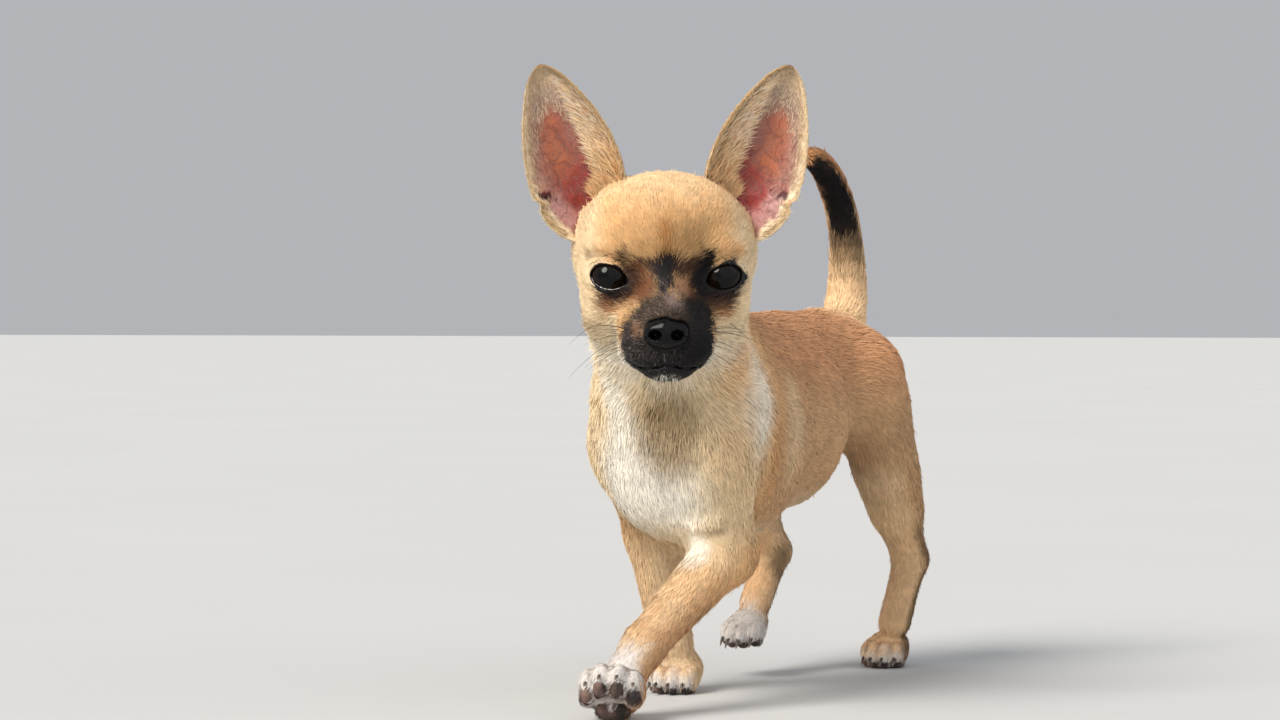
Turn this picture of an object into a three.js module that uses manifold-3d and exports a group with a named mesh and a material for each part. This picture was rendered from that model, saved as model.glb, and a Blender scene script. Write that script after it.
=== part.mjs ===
// A smooth-coated chihuahua puppy at a trot, life-size, as a still model.
// Millimetres, +Z up. The puppy faces -Y with its head turned to its left (+X).
// The flesh is one rounded body, parted by thin cuts where a person would name the pieces.
import * as THREE from 'three';
import { edgeTable, triTable } from 'three/addons/objects/MarchingCubes.js';
import { mergeVertices } from 'three/addons/utils/BufferGeometryUtils.js';
import Module from 'manifold-3d';

const wasm = await Module();
wasm.setup();

const GAP = 0.3;

// Head: where it is carried and how it is turned.
const EYES_MIDDLE = [22.0, -46.8, 163];
const HEAD_YAW = 31;
const HEAD_PITCH = -4;

// Head measures, in the head's own frame: x left, y back, z up, origin between the eyes.
const EYE_CENTRE = [20.2, 1.5, 0];
const EYE_RADIUS = 8.2;
const EYE_HALF_WIDTH = 6.6;
const EYE_HALF_HEIGHT = 5.1;
const EYE_SLANT = 0.13;
const EYE_TURN_OUT = 10;
const LID_RADIUS = 0.95;
const MOUTH_FRONT_Z = -31.4;
const MOUTH_CORNER_Y = -8;
const MOUTH_CORNER_Z = -28.6;
const NOSTRIL = [3.6, -34.2, -18.9];

// Ear edges: base, two pulls and tip, for the left ear.
const EAR_TIP = [47.5, 24, 81];
const EAR_INNER = [[15, 20, 31], [14, 18, 51], [33, 18, 72], EAR_TIP];
const EAR_OUTER = [[30, 17, 12], [57, 13, 14], [56, 21, 68], EAR_TIP];
const EAR_REACH = 0.9;
const EAR_ROUND_FROM = 0.82;
const EAR_CUP_DEPTH = 15;
const EAR_THICKNESS = 2.2;

// Legs: joint centres, then the paw's turn, its lift and its size.
const LEGS = {
  fore_left: {
    side: 1,
    shoulder: [22, -12, 98],
    elbow: [20.5, 2, 59],
    wrist: [9, -40, 27],
    paw: [3, -52, 10.5],
    turn: 22,
    lift: 38,
    size: 1.25,
  },
  fore_right: {
    side: -1,
    shoulder: [-21, 2, 98],
    elbow: [-25, 27, 64],
    wrist: [-22, 34, 22],
    paw: [-19, 36, 8],
    turn: 2,
    lift: 0,
    size: 1.05,
  },
  hind_left: {
    side: 1,
    hip: [15, 128, 124],
    stifle: [23, 139, 83.5],
    hock: [25, 159, 46],
    paw: [14, 160, 7.6],
    turn: 4,
    lift: 0,
    size: 1,
  },
  hind_right: {
    side: -1,
    hip: [-15, 124, 122],
    stifle: [-26, 98, 84],
    hock: [-22, 123, 50],
    paw: [-21, 98, 21],
    turn: 0,
    lift: -8,
    size: 0.95,
  },
};
const TOES = [[-6.8, -4.6], [-2.5, -8.4], [2.5, -8.4], [6.8, -4.6]];
const CLAW_LENGTH = 4.6;
const CLAW_RADIUS = 1.15;

// Tail: points along its middle, each with the radius there.
const TAIL = [
  [0, 138, 132, 12.0],
  [0, 148, 156, 9.9],
  [0, 148, 178, 8.2],
  [0, 142, 195, 7.6],
  [0, 132, 207, 7.0],
  [0, 121, 214, 6.2],
  [0, 112, 215, 5.0],
];

const NECK_FOOT = [0, 2, 118];
const NECK_HEAD_LOCAL = [0, 22, -6];

// Colours of the coat and of the bare parts.
const FAWN = 0xc69a68;
const SAND = 0xdcbf92;
const CREAM = 0xe9dcc4;
const MASK = 0x2c2320;
const BROWN = 0xa87b50;
const LEATHER = 0x121113;
const EYE_BROWN = 0x120b08;
const LID_BLACK = 0x171214;
const COAT_ROUGHNESS = 0.9;
const LEATHER_ROUGHNESS = 0.35;
const EYE_ROUGHNESS = 0.06;

// ---- small vector helpers ----

const add = (a, b, s = 1) => [a[0] + b[0] * s, a[1] + b[1] * s, a[2] + b[2] * s];
const mix = (a, b, t) => a.map((v, i) => v + (b[i] - v) * t);
const length = (a) => Math.hypot(a[0], a[1], a[2]);
const unit = (a) => a.map((v) => v / length(a));
const dot = (a, b) => a[0] * b[0] + a[1] * b[1] + a[2] * b[2];
const cross = (a, b) => [
  a[1] * b[2] - a[2] * b[1],
  a[2] * b[0] - a[0] * b[2],
  a[0] * b[1] - a[1] * b[0],
];

// A turned frame: its left, back and up axes. Yaw turns the nose left, pitch lifts it.
function frame(origin, yaw, pitch) {
  const y = THREE.MathUtils.degToRad(yaw);
  const p = THREE.MathUtils.degToRad(pitch);
  const left = [Math.cos(y), Math.sin(y), 0];
  const back = [-Math.sin(y) * Math.cos(p), Math.cos(y) * Math.cos(p), -Math.sin(p)];
  const up = cross(left, back);
  return { origin, axes: [left, back, up] };
}

// A frame whose third axis runs from one point to another.
function frameAlong(from, to) {
  const up = unit(add(to, from, -1));
  const left = unit(cross(Math.abs(up[1]) > 0.9 ? [0, 0, 1] : [0, 1, 0], up));
  return { origin: from, axes: [left, cross(up, left), up] };
}

function inFrame(f, p) {
  const q = add(p, f.origin, -1);
  return f.axes.map((a) => dot(a, q));
}

function outOfFrame(f, p) {
  let q = f.origin;
  f.axes.forEach((a, i) => {
    q = add(q, a, p[i]);
  });
  return q;
}

const WORLD = { origin: [0, 0, 0], axes: [[1, 0, 0], [0, 1, 0], [0, 0, 1]] };
const HEAD = frame(EYES_MIDDLE, HEAD_YAW, HEAD_PITCH);

// ---- rounded forms: each gives the distance to its surface, negative inside ----

function egg(p, c, r) {
  const a = [(p[0] - c[0]) / r[0], (p[1] - c[1]) / r[1], (p[2] - c[2]) / r[2]];
  const k0 = length(a);
  const k1 = Math.hypot(a[0] / r[0], a[1] / r[1], a[2] / r[2]);
  return (k0 * (k0 - 1)) / Math.max(k1, 1e-6);
}

function bone(p, a, b, ra, rb) {
  const ba = add(b, a, -1);
  const pa = add(p, a, -1);
  const l2 = dot(ba, ba);
  const rr = ra - rb;
  const a2 = l2 - rr * rr;
  const y = dot(pa, ba);
  const z = y - l2;
  const x = [0, 1, 2].map((i) => pa[i] * l2 - ba[i] * y);
  const x2 = dot(x, x);
  const y2 = y * y * l2;
  const z2 = z * z * l2;
  const k = Math.sign(rr) * rr * rr * x2;
  if (Math.sign(z) * a2 * z2 > k) return Math.sqrt(x2 + z2) / l2 - rb;
  if (Math.sign(y) * a2 * y2 < k) return Math.sqrt(x2 + y2) / l2 - ra;
  return (Math.sqrt((x2 * a2) / l2) + y * rr) / l2 - ra;
}

function join(a, b, soft) {
  const h = Math.min(Math.max(0.5 + (0.5 * (b - a)) / soft, 0), 1);
  return b + (a - b) * h - soft * h * (1 - h);
}

const carve = (a, b, soft) => -join(-a, b, soft);
const mirrored = (p) => [Math.abs(p[0]), p[1], p[2]];

// ---- head ----

const EYE_FRAME = frame(EYE_CENTRE, EYE_TURN_OUT, 2);

// How far a point is outside the lid opening, across the line of sight.
function openingAcross(m) {
  const g = inFrame(EYE_FRAME, m);
  const high = (g[2] - EYE_SLANT * g[0]) / EYE_HALF_HEIGHT;
  return { across: (Math.hypot(g[0] / EYE_HALF_WIDTH, high) - 1) * 5, deep: g[1] + 2 };
}

function skull(q, m) {
  let d = egg(q, [0, 25, 9], [35.5, 32, 30]);
  d = join(d, egg(q, [0, 8, 18], [27, 20, 19.5]), 8);
  d = join(d, egg(m, [17.5, 2, 9.5], [12, 9, 7]), 7);
  d = join(d, bone(q, [0, 2, 6], [0, -6, -8], 10, 8.6), 8);
  d = join(d, egg(m, [20, 10, -9], [11.5, 17, 13]), 8);
  return join(d, egg(m, add(EYE_CENTRE, [-0.5, 2.5, -0.5]), [11.2, 10.5, 9.6]), 4);
}

function muzzle(q, m) {
  let d = bone(q, [0, -2, -13], [0, -21, -19], 15.5, 11);
  d = join(d, bone(q, [0, -4, -6], [0, -27, -14.2], 8, 6.5), 5);
  d = join(d, egg(m, [8.4, -18, -23.4], [8.6, 12, 8]), 4);
  return join(d, egg(m, [9.8, -7, -18], [8.6, 12, 10.5]), 6);
}

function lowerJaw(q, m) {
  let d = bone(q, [0, 6, -23], [0, -16, -27.3], 13, 8.6);
  d = join(d, bone(m, [11.5, -3, -26.5], [5, -19, -29.6], 6.5, 5.6), 4);
  return join(d, egg(q, [0, -19.6, -30.2], [9.6, 7.5, 5.6]), 4);
}

// Height of the line where the lips meet.
function mouthZ(y) {
  const t = Math.min(Math.max((y - MOUTH_CORNER_Y) / -14, 0), 1);
  return MOUTH_CORNER_Z + (MOUTH_FRONT_Z - MOUTH_CORNER_Z) * t;
}

function headField(p) {
  const q = inFrame(HEAD, p);
  const m = mirrored(q);
  let d = join(skull(q, m), muzzle(q, m), 6);
  d = join(d, lowerJaw(q, m), 3);
  const lips = Math.max(Math.abs(q[2] - mouthZ(q[1])) - 0.5, -(d + 1.6), q[1] - MOUTH_CORNER_Y);
  d = carve(d, lips, 0.8);
  const eye = openingAcross(m);
  return carve(d, Math.max(eye.across, eye.deep), 1);
}

function noseField(q) {
  const m = mirrored(q);
  let d = egg(q, [0, -29.9, -17.9], [6, 5.1, 5.9]);
  d = join(d, egg(m, [3.9, -29.2, -18.4], [4.3, 4.8, 4.6]), 1.5);
  d = carve(d, egg(m, NOSTRIL, [2, 3.2, 2.1]), 0.7);
  return carve(d, egg(q, [0, -35.4, -23], [0.7, 3, 5]), 0.6);
}

// ---- trunk, neck, tail ----

function trunk(p) {
  let d = egg(p, [0, 34, 104], [33, 52, 46]);
  d = join(d, egg(p, [0, 0, 98], [31, 30, 36]), 12);
  d = join(d, egg(p, [0, 84, 109.5], [29, 36, 40]), 13);
  d = join(d, egg(p, [0, 123, 122], [28, 31, 30]), 11);
  d = join(d, egg(p, [0, 18, 138], [16, 28, 15]), 14);
  return join(d, bone(p, [0, 10, 132], [0, 125, 133], 19, 19), 8);
}

const NECK_HEAD = outOfFrame(HEAD, NECK_HEAD_LOCAL);

// Points along a smooth curve, a few to each span.
function smoothCurve(points, steps) {
  const ends = [mix(points[1], points[0], 2), ...points, mix(points.at(-2), points.at(-1), 2)];
  const out = [];
  for (let i = 1; i < ends.length - 2; i += 1) {
    for (let s = 0; s < steps; s += 1) {
      const t = s / steps;
      out.push(points[0].map((_, k) => {
        const [a, b, c, d] = [ends[i - 1][k], ends[i][k], ends[i + 1][k], ends[i + 2][k]];
        const bend = (2 * a - 5 * b + 4 * c - d) * t * t + (3 * b - a - 3 * c + d) * t ** 3;
        return 0.5 * (2 * b + (c - a) * t + bend);
      }));
    }
  }
  return [...out, points.at(-1)];
}

const TAIL_LINE = smoothCurve(TAIL, 3);
const TAIL_BOUND = [[0, 132, 176], 62];
const HEAD_BOUND = [outOfFrame(HEAD, [0, 12, 2]), 64];

function tailField(p) {
  let d = Infinity;
  for (let i = 1; i < TAIL_LINE.length; i += 1) {
    const [a, b] = [TAIL_LINE[i - 1], TAIL_LINE[i]];
    const piece = bone(p, a.slice(0, 3), b.slice(0, 3), a[3], b[3]);
    d = i === 1 ? piece : join(d, piece, 1);
  }
  return d;
}

// ---- legs ----

for (const leg of Object.values(LEGS)) {
  leg.pawFrame = frame(leg.paw, leg.turn, leg.lift);
  leg.bound = leg.hip ? [mix(leg.hip, leg.paw, 0.5), 86] : [mix(leg.shoulder, leg.paw, 0.42), 78];
}

// True where a form lies too far off to change what is already there.
function outOfReach(p, [centre, radius], d, soft) {
  return length(add(p, centre, -1)) - radius > Math.max(d, 0) + soft;
}

function foreLimb(p, leg) {
  const blade = add(leg.shoulder, [0, 12, 16]);
  let d = bone(p, blade, leg.shoulder, 14, 15);
  d = join(d, bone(p, leg.shoulder, leg.elbow, 15, 12.5), 8);
  d = join(d, bone(p, leg.elbow, leg.wrist, 12, 8.3), 6);
  return join(d, bone(p, leg.wrist, mix(leg.paw, leg.wrist, 0.35), 8.3, 8), 4);
}

const hamstringTop = (leg) => [leg.hip[0] + 2 * leg.side, 139.5, 112];
const hamstringFoot = (leg) => mix(leg.stifle, leg.hock, 0.38);

function hindLimb(p, leg) {
  let d = bone(p, leg.hip, leg.stifle, 21, 12);
  d = join(d, bone(p, leg.stifle, leg.hock, 12, 7.8), 8);
  d = join(d, bone(p, hamstringTop(leg), hamstringFoot(leg), 15.5, 12), 7);
  return join(d, bone(p, leg.hock, mix(leg.paw, leg.hock, 0.3), 7.5, 7.2), 4);
}

function pawField(p, leg) {
  const q = inFrame(leg.pawFrame, p);
  const s = leg.size;
  const part = (c, r) => egg(q, c.map((v) => v * s), r.map((v) => v * s));
  let d = part([0, 1.5, 0.8], [8.6, 9.5, 7.2]);
  for (const [x, y] of TOES) {
    d = join(d, part([x, y, -1.8], [3.3, 6.6, 5.4]), 1);
    d = join(d, part([x, y - 0.5, -6.2], [2.7, 3.4, 1.9]), 0.6);
  }
  return join(d, part([0, 1.5, -6], [5.6, 4.6, 2.4]), 0.8);
}

function limb(p, leg) {
  const upper = leg.hip ? hindLimb(p, leg) : foreLimb(p, leg);
  return outOfReach(p, [leg.paw, 20], upper, 3) ? upper : join(upper, pawField(p, leg), 3);
}

function puppy(p) {
  let d = join(trunk(p), bone(p, NECK_FOOT, NECK_HEAD, 33, 27), 16);
  for (const leg of Object.values(LEGS)) {
    if (!outOfReach(p, leg.bound, d, 10)) d = join(d, limb(p, leg), leg.hip ? 7 : 10);
  }
  if (!outOfReach(p, TAIL_BOUND, d, 8)) d = join(d, tailField(p), 8);
  return outOfReach(p, HEAD_BOUND, d, 8) ? d : join(d, headField(p), 8);
}

// ---- surfaces from forms ----

const CORNERS = [
  [0, 0, 0], [1, 0, 0], [1, 1, 0], [0, 1, 0],
  [0, 0, 1], [1, 0, 1], [1, 1, 1], [0, 1, 1],
];
const EDGES = [
  [0, 1], [1, 2], [3, 2], [0, 3], [4, 5], [5, 6],
  [7, 6], [4, 7], [0, 4], [1, 5], [2, 6], [3, 7],
];

function solidFrom(positions, triangles) {
  const mesh = new wasm.Mesh({
    numProp: 3,
    vertProperties: new Float32Array(positions),
    triVerts: new Uint32Array(triangles),
  });
  return new wasm.Manifold(mesh);
}

// Sample places along one axis, closer together inside the fine stretch.
function ticks(low, high, step, fine) {
  const out = [];
  for (let v = low; v < high + step;) {
    out.push(v);
    v += fine && v >= fine[0] && v < fine[1] ? fine[2] : step;
  }
  return out;
}

// Where to sample a form: a box in a frame, with an even step or a finer stretch on some axes.
function grid(f, low, high, step, fine = []) {
  return { f, axes: low.map((v, i) => ticks(v - 1.5 * step, high[i] + 1.5 * step, step, fine[i])) };
}

// The closed surface of a form over a grid.
function surfaceSolid(field, { f, axes }) {
  const n = axes.map((a) => a.length);
  const at = (i, j, k) => (k * n[1] + j) * n[0] + i;
  const value = new Float64Array(n[0] * n[1] * n[2]);
  for (let k = 0; k < n[2]; k += 1) {
    for (let j = 0; j < n[1]; j += 1) {
      for (let i = 0; i < n[0]; i += 1) {
        const rim = [i, j, k].some((v, a) => v === 0 || v === n[a] - 1);
        const d = field(outOfFrame(f, [axes[0][i], axes[1][j], axes[2][k]]));
        value[at(i, j, k)] = rim ? Math.max(d, 1) : d;
      }
    }
  }
  const positions = [];
  const triangles = [];
  const known = new Map();
  const pointOn = (cell, edge) => {
    const [g0, g1] = EDGES[edge].map((c) => CORNERS[c].map((v, a) => v + cell[a]));
    const key = at(...g0) * 3 + g1.findIndex((v, a) => v !== g0[a]);
    if (!known.has(key)) {
      const [v0, v1] = [value[at(...g0)], value[at(...g1)]];
      const t = Math.min(Math.max(v0 / (v0 - v1), 0.1), 0.9);
      known.set(key, positions.length / 3);
      const [p0, p1] = [g0, g1].map((g) => g.map((v, a) => axes[a][v]));
      positions.push(...outOfFrame(f, mix(p0, p1, t)));
    }
    return known.get(key);
  };
  for (let k = 0; k < n[2] - 1; k += 1) {
    for (let j = 0; j < n[1] - 1; j += 1) {
      for (let i = 0; i < n[0] - 1; i += 1) {
        let code = 0;
        CORNERS.forEach((c, bit) => {
          if (value[at(i + c[0], j + c[1], k + c[2])] > 0) code |= 1 << bit;
        });
        if (edgeTable[code] !== 0) {
          for (let t = code * 16; triTable[t] !== -1; t += 3) {
            const face = [0, 1, 2].map((c) => pointOn([i, j, k], triTable[t + c]));
            triangles.push(...face);
          }
        }
      }
    }
  }
  return solidFrom(positions, triangles);
}

function solidOf(geometry, matrix = new THREE.Matrix4()) {
  const g = geometry.clone().applyMatrix4(matrix);
  g.deleteAttribute('normal');
  g.deleteAttribute('uv');
  const merged = mergeVertices(g, 1e-4);
  return solidFrom(merged.attributes.position.array, merged.index.array);
}

function matrixOf(f) {
  const [x, y, z] = f.axes.map((a) => new THREE.Vector3(...a));
  return new THREE.Matrix4().makeBasis(x, y, z).setPosition(...f.origin);
}

// A box between two corners of a frame, grown by a margin on every side.
function boxCutter(f, low, high, margin = 0) {
  const size = high.map((v, i) => v - low[i] + 2 * margin);
  const g = new THREE.BoxGeometry(...size);
  g.translate(...mix(low, high, 0.5));
  return solidOf(g, matrixOf(f));
}

// Everything beyond a distance along the line from one point to another.
function beyond(from, to, start, margin, half = 130, reach = 300) {
  return boxCutter(frameAlong(from, to), [-half, -half, start], [half, half, start + reach], margin);
}

// A round-ended window seen from the side, running outward from an inner plane.
function sideWindow(side, inner, a, ra, b, rb, margin) {
  const shape = new THREE.Shape();
  const [dy, dz] = [b[1] - a[1], b[2] - a[2]];
  const lean = Math.atan2(dz, dy);
  const turn = Math.acos((ra - rb) / Math.hypot(dy, dz));
  shape.absarc(b[1], b[2], rb + margin, lean - turn, lean + turn, false);
  shape.absarc(a[1], a[2], ra + margin, lean + turn, lean - turn + 2 * Math.PI, false);
  const g = new THREE.ExtrudeGeometry(shape, { depth: 90, bevelEnabled: false, curveSegments: 10 });
  const start = side * (inner - margin) - (side < 0 ? 90 : 0);
  const toSide = new THREE.Matrix4().makeBasis(
    new THREE.Vector3(0, 1, 0),
    new THREE.Vector3(0, 0, 1),
    new THREE.Vector3(1, 0, 0),
  );
  return solidOf(g, toSide.setPosition(start, 0, 0));
}

const largest = (solid) => solid.decompose().reduce((a, b) => (b.volume() > a.volume() ? b : a));

// ---- cells: each owns the flesh inside it, in this order ----

const chinLine = (margin) => {
  const shape = new THREE.Shape();
  shape.moveTo(-60, MOUTH_FRONT_Z + margin);
  shape.lineTo(MOUTH_CORNER_Y - 14, MOUTH_FRONT_Z + margin);
  shape.lineTo(MOUTH_CORNER_Y, MOUTH_CORNER_Z + margin);
  shape.lineTo(-1 + margin, -31);
  shape.lineTo(3 + margin, -60);
  shape.lineTo(-60, -60);
  const g = new THREE.ExtrudeGeometry(shape, { depth: 80, bevelEnabled: false });
  const local = new THREE.Matrix4().makeBasis(
    new THREE.Vector3(0, 1, 0),
    new THREE.Vector3(0, 0, 1),
    new THREE.Vector3(1, 0, 0),
  );
  local.setPosition(-40, 0, 0);
  return solidOf(g, matrixOf(HEAD).multiply(local));
};

const cells = [];
const cell = (name, colour, cutter, where) => cells.push({ name, colour, cutter, where });
const headCut = (m) => beyond(NECK_FOOT, NECK_HEAD, 32, m);

// Flesh beyond a cut across a limb.
function limbCell(name, colour, [from, to, start], half, reach, step) {
  const box = [[-half, -half, start], [half, half, start + reach]];
  const cutter = (m) => beyond(from, to, start, m, half, reach);
  cell(name, colour, cutter, grid(frameAlong(from, to), ...box, step));
}

const HEAD_BOX = [[-41, -38, -42], [41, 60, 44]];
const HEAD_FINE = [null, [-12, 6, 3.3], [-11, 9, 3.3]];
const MUZZLE_LINE = [[0, -4, -4], [0, -27, -12]].map((q) => outOfFrame(HEAD, q));
cell('jaw', MASK, (m) => chinLine(m).intersect(headCut(m)), grid(HEAD, [-22, -34, -40], [22, 4, -20], 2.9));
cell('muzzle', MASK, (m) => beyond(...MUZZLE_LINE, 5, m, 34, 40),
  grid(HEAD, [-24, -36, -36], [24, 4, 6], 3.5));
cell('head', SAND, headCut, grid(HEAD, ...HEAD_BOX, 6.6, HEAD_FINE));
limbCell('neck', CREAM, [NECK_FOOT, NECK_HEAD, 10], 50, 30, 8);
limbCell('tail', BROWN, [TAIL[0], TAIL[1], 16], 62, 100, 5);

for (const [name, leg] of Object.entries(LEGS)) {
  const side = leg.side > 0 ? 'left' : 'right';
  const heel = leg.hip ? leg.hock : leg.wrist;
  const bend = leg.hip ? leg.stifle : leg.elbow;
  const top = leg.hip ? leg.hip : leg.shoulder;
  limbCell(`paw_${name}`, CREAM, [heel, leg.paw, leg.hip ? 22 : 4], 19, 34, 3.45);
  if (leg.hip) {
    limbCell(`hock_${side}`, SAND, [heel, leg.paw, -1], 15, 30, 4.2);
    limbCell(`shank_${side}`, FAWN, [bend, heel, 12], 17, 44, 5);
    const crotch = leg.side > 0 ? GAP / 2 : 6;
    const lower = mix(hamstringTop(leg), hamstringFoot(leg), 0.35);
    const thighCut = (m) => {
      const upper = sideWindow(leg.side, 9, top, 25, bend, 15, m);
      return upper.add(sideWindow(leg.side, crotch, lower, 17, hamstringFoot(leg), 14.5, m));
    };
    const across = leg.side > 0 ? [-4, 44] : [-44, 4];
    const where = grid(WORLD, [across[0], 80, 50], [across[1], 166, 155], 7.4);
    cell(`thigh_${side}`, FAWN, thighCut, where);
  } else {
    limbCell(`forearm_${side}`, SAND, [bend, heel, 9], 17, 52, 4.8);
    const blade = add(top, [0, 10, 14]);
    const armCut = (m) => {
      const upper = sideWindow(leg.side, 12, blade, 16, top, 17, m);
      return upper.add(sideWindow(leg.side, 9, top, 16, bend, 14.5, m));
    };
    const across = leg.side > 0 ? [4, 44] : [-44, -4];
    const where = grid(WORLD, [across[0], -36, 38], [across[1], 48, 135], 6.6);
    cell(`upper_arm_${side}`, FAWN, armCut, where);
  }
}
cell('torso', FAWN, (m) => boxCutter(WORLD, [-80, -120, 0], [80, 260, 300], m),
  grid(WORLD, [-40, -36, 50], [40, 158, 160], 10.4));

// ---- parts that are not flesh of the one body ----

const eyeAt = (side, radius) => {
  const [x, y, z] = EYE_CENTRE;
  const spot = outOfFrame(HEAD, [side * x, y, z]);
  const g = new THREE.SphereGeometry(radius, 16, 11);
  return solidOf(g, new THREE.Matrix4().makeTranslation(...spot));
};

class LidLine extends THREE.Curve {
  constructor(side) {
    super();
    this.side = side;
  }

  getPoint(t, target = new THREE.Vector3()) {
    const a = t * 2 * Math.PI;
    const x = EYE_HALF_WIDTH * Math.cos(a);
    const z = EYE_HALF_HEIGHT * Math.sin(a) + EYE_SLANT * x;
    const shell = EYE_RADIUS + LID_RADIUS + GAP;
    const y = -Math.sqrt(shell ** 2 - x ** 2 - z ** 2);
    const local = outOfFrame(EYE_FRAME, [x, y, z]);
    local[0] *= this.side;
    return target.set(...outOfFrame(HEAD, local));
  }
}

const lidAt = (side, radius) => {
  return solidOf(new THREE.TubeGeometry(new LidLine(side), 22, radius, 6, true));
};

const noseSolid = (margin) => surfaceSolid(
  (p) => noseField(inFrame(HEAD, p)) - margin,
  grid(HEAD, [-12, -38, -27], [12, -21, -8], 1.65),
);

const bezier = (points, t) => {
  const s = 1 - t;
  const w = [s ** 3, 3 * s * s * t, 3 * s * t * t, t ** 3];
  return [0, 1, 2].map((k) => w.reduce((sum, v, i) => sum + v * points[i][k], 0));
};

// A point of the ear's middle sheet: u from inner to outer edge, v from base to rounded tip.
function earPoint(u, v) {
  const nearTip = Math.max((v - EAR_ROUND_FROM) / (1 - EAR_ROUND_FROM), 0);
  const across = 0.5 + (u - 0.5) * Math.cbrt(1 - nearTip ** 3);
  const flat = mix(bezier(EAR_INNER, EAR_REACH * v), bezier(EAR_OUTER, EAR_REACH * v), across);
  const cup = EAR_CUP_DEPTH * (1 - v) ** 0.6 * Math.sin(Math.PI * u) ** 0.8;
  return add(flat, [-0.12, 1, 0.05], cup);
}

function earSolid(side) {
  const across = 10;
  const along = 10;
  const positions = [];
  const index = (face, i, j) => {
    const row = j === along ? 0 : i;
    return face * (across + 1) * (along + 1) + j * (across + 1) + row;
  };
  for (const face of [0, 1]) {
    for (let j = 0; j <= along; j += 1) {
      for (let i = 0; i <= across; i += 1) {
        const u = i / across;
        const v = 1 - (1 - j / along) ** 1.5;
        const e = 1e-3;
        const du = add(earPoint(Math.min(u + e, 1), v), earPoint(Math.max(u - e, 0), v), -1);
        const dv = add(earPoint(u, Math.min(v + e, 1)), earPoint(u, Math.max(v - e, 0)), -1);
        const turned = cross(du, dv);
        const normal = length(turned) > 1e-9 && j < along ? unit(turned) : [0, -1, 0];
        const edge = Math.min(1, 0.55 + 3 * Math.min(u, 1 - u));
        const half = (EAR_THICKNESS / 2) * edge;
        const p = add(earPoint(u, v), normal, face ? -half : half);
        positions.push(...outOfFrame(HEAD, [side * p[0], p[1], p[2]]));
      }
    }
  }
  const triangles = [];
  const quad = (a, b, c, d) => {
    for (const t of [[a, b, c], [a, c, d]]) {
      if (new Set(t).size === 3) triangles.push(...t);
    }
  };
  for (let j = 0; j < along; j += 1) {
    for (let i = 0; i < across; i += 1) {
      quad(index(0, i, j), index(0, i + 1, j), index(0, i + 1, j + 1), index(0, i, j + 1));
      quad(index(1, i, j), index(1, i, j + 1), index(1, i + 1, j + 1), index(1, i + 1, j));
    }
    quad(index(0, 0, j), index(0, 0, j + 1), index(1, 0, j + 1), index(1, 0, j));
    quad(index(0, across, j), index(1, across, j), index(1, across, j + 1), index(0, across, j + 1));
  }
  for (let i = 0; i < across; i += 1) {
    quad(index(0, i, 0), index(1, i, 0), index(1, i + 1, 0), index(0, i + 1, 0));
  }
  return solidFrom(positions, side < 0 ? triangles.reverse() : triangles);
}

// A claw: a short cone at the tip of a toe, pointing forward and down.
function clawSolids(leg) {
  return TOES.map(([x, y]) => {
    const s = leg.size;
    const g = new THREE.ConeGeometry(CLAW_RADIUS, CLAW_LENGTH, 6);
    g.rotateX(-1.15 - Math.PI / 2);
    g.translate(x * s, (y - 6.4) * s, -2.9 * s);
    return solidOf(g, matrixOf(leg.pawFrame));
  });
}

// ---- build every node ----

const eyes = { left: eyeAt(1, EYE_RADIUS), right: eyeAt(-1, EYE_RADIUS) };
const eyesGrown = eyeAt(1, EYE_RADIUS + GAP).add(eyeAt(-1, EYE_RADIUS + GAP));
const lids = { left: lidAt(1, LID_RADIUS), right: lidAt(-1, LID_RADIUS) };
const lidsGrown = lidAt(1, LID_RADIUS + GAP).add(lidAt(-1, LID_RADIUS + GAP));
const nose = noseSolid(0);
const noseGrown = noseSolid(GAP);

const built = {};
let headGrown = null;
const taken = [];
for (const c of cells) {
  let solid = surfaceSolid(puppy, c.where).intersect(c.cutter(0));
  for (const other of taken) solid = solid.subtract(other);
  taken.push(c.cutter(GAP));
  if (['head', 'muzzle', 'jaw'].includes(c.name)) {
    solid = solid.subtract(noseGrown).subtract(eyesGrown).subtract(lidsGrown);
  }
  if (c.name === 'head') {
    headGrown = surfaceSolid((p) => puppy(p) - GAP, c.where).intersect(c.cutter(0));
  }
  if (c.name.startsWith('paw_')) {
    const leg = LEGS[c.name.slice(4)];
    solid = largest(solid);
    for (const claw of clawSolids(leg)) solid = solid.add(claw);
    solid = solid.intersect(boxCutter(WORLD, [-99, -120, 0], [99, 260, 90]));
  }
  built[c.name] = { name: c.name, colour: c.colour, roughness: COAT_ROUGHNESS, solid: largest(solid) };
}

const loose = (name, colour, solid, roughness) => {
  built[name] = { name, colour, roughness, solid: largest(solid) };
};
for (const side of ['left', 'right']) {
  loose(`eye_${side}`, EYE_BROWN, eyes[side], EYE_ROUGHNESS);
  loose(`eyelid_${side}`, LID_BLACK, lids[side], LEATHER_ROUGHNESS);
  loose(`ear_${side}`, SAND, earSolid(side === 'left' ? 1 : -1).subtract(headGrown), COAT_ROUGHNESS);
}
loose('nose', LEATHER, nose, LEATHER_ROUGHNESS);

// ---- the group, centred over the middle of its footprint ----

function geometryOf(solid) {
  const mesh = solid.getMesh();
  const g = new THREE.BufferGeometry();
  const positions = new Float32Array(mesh.numVert * 3);
  for (let i = 0; i < mesh.numVert; i += 1) {
    for (let k = 0; k < 3; k += 1) positions[i * 3 + k] = mesh.vertProperties[i * mesh.numProp + k];
  }
  g.setAttribute('position', new THREE.BufferAttribute(positions, 3));
  g.setIndex(new THREE.BufferAttribute(new Uint32Array(mesh.triVerts), 1));
  g.computeVertexNormals();
  return g;
}

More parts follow.
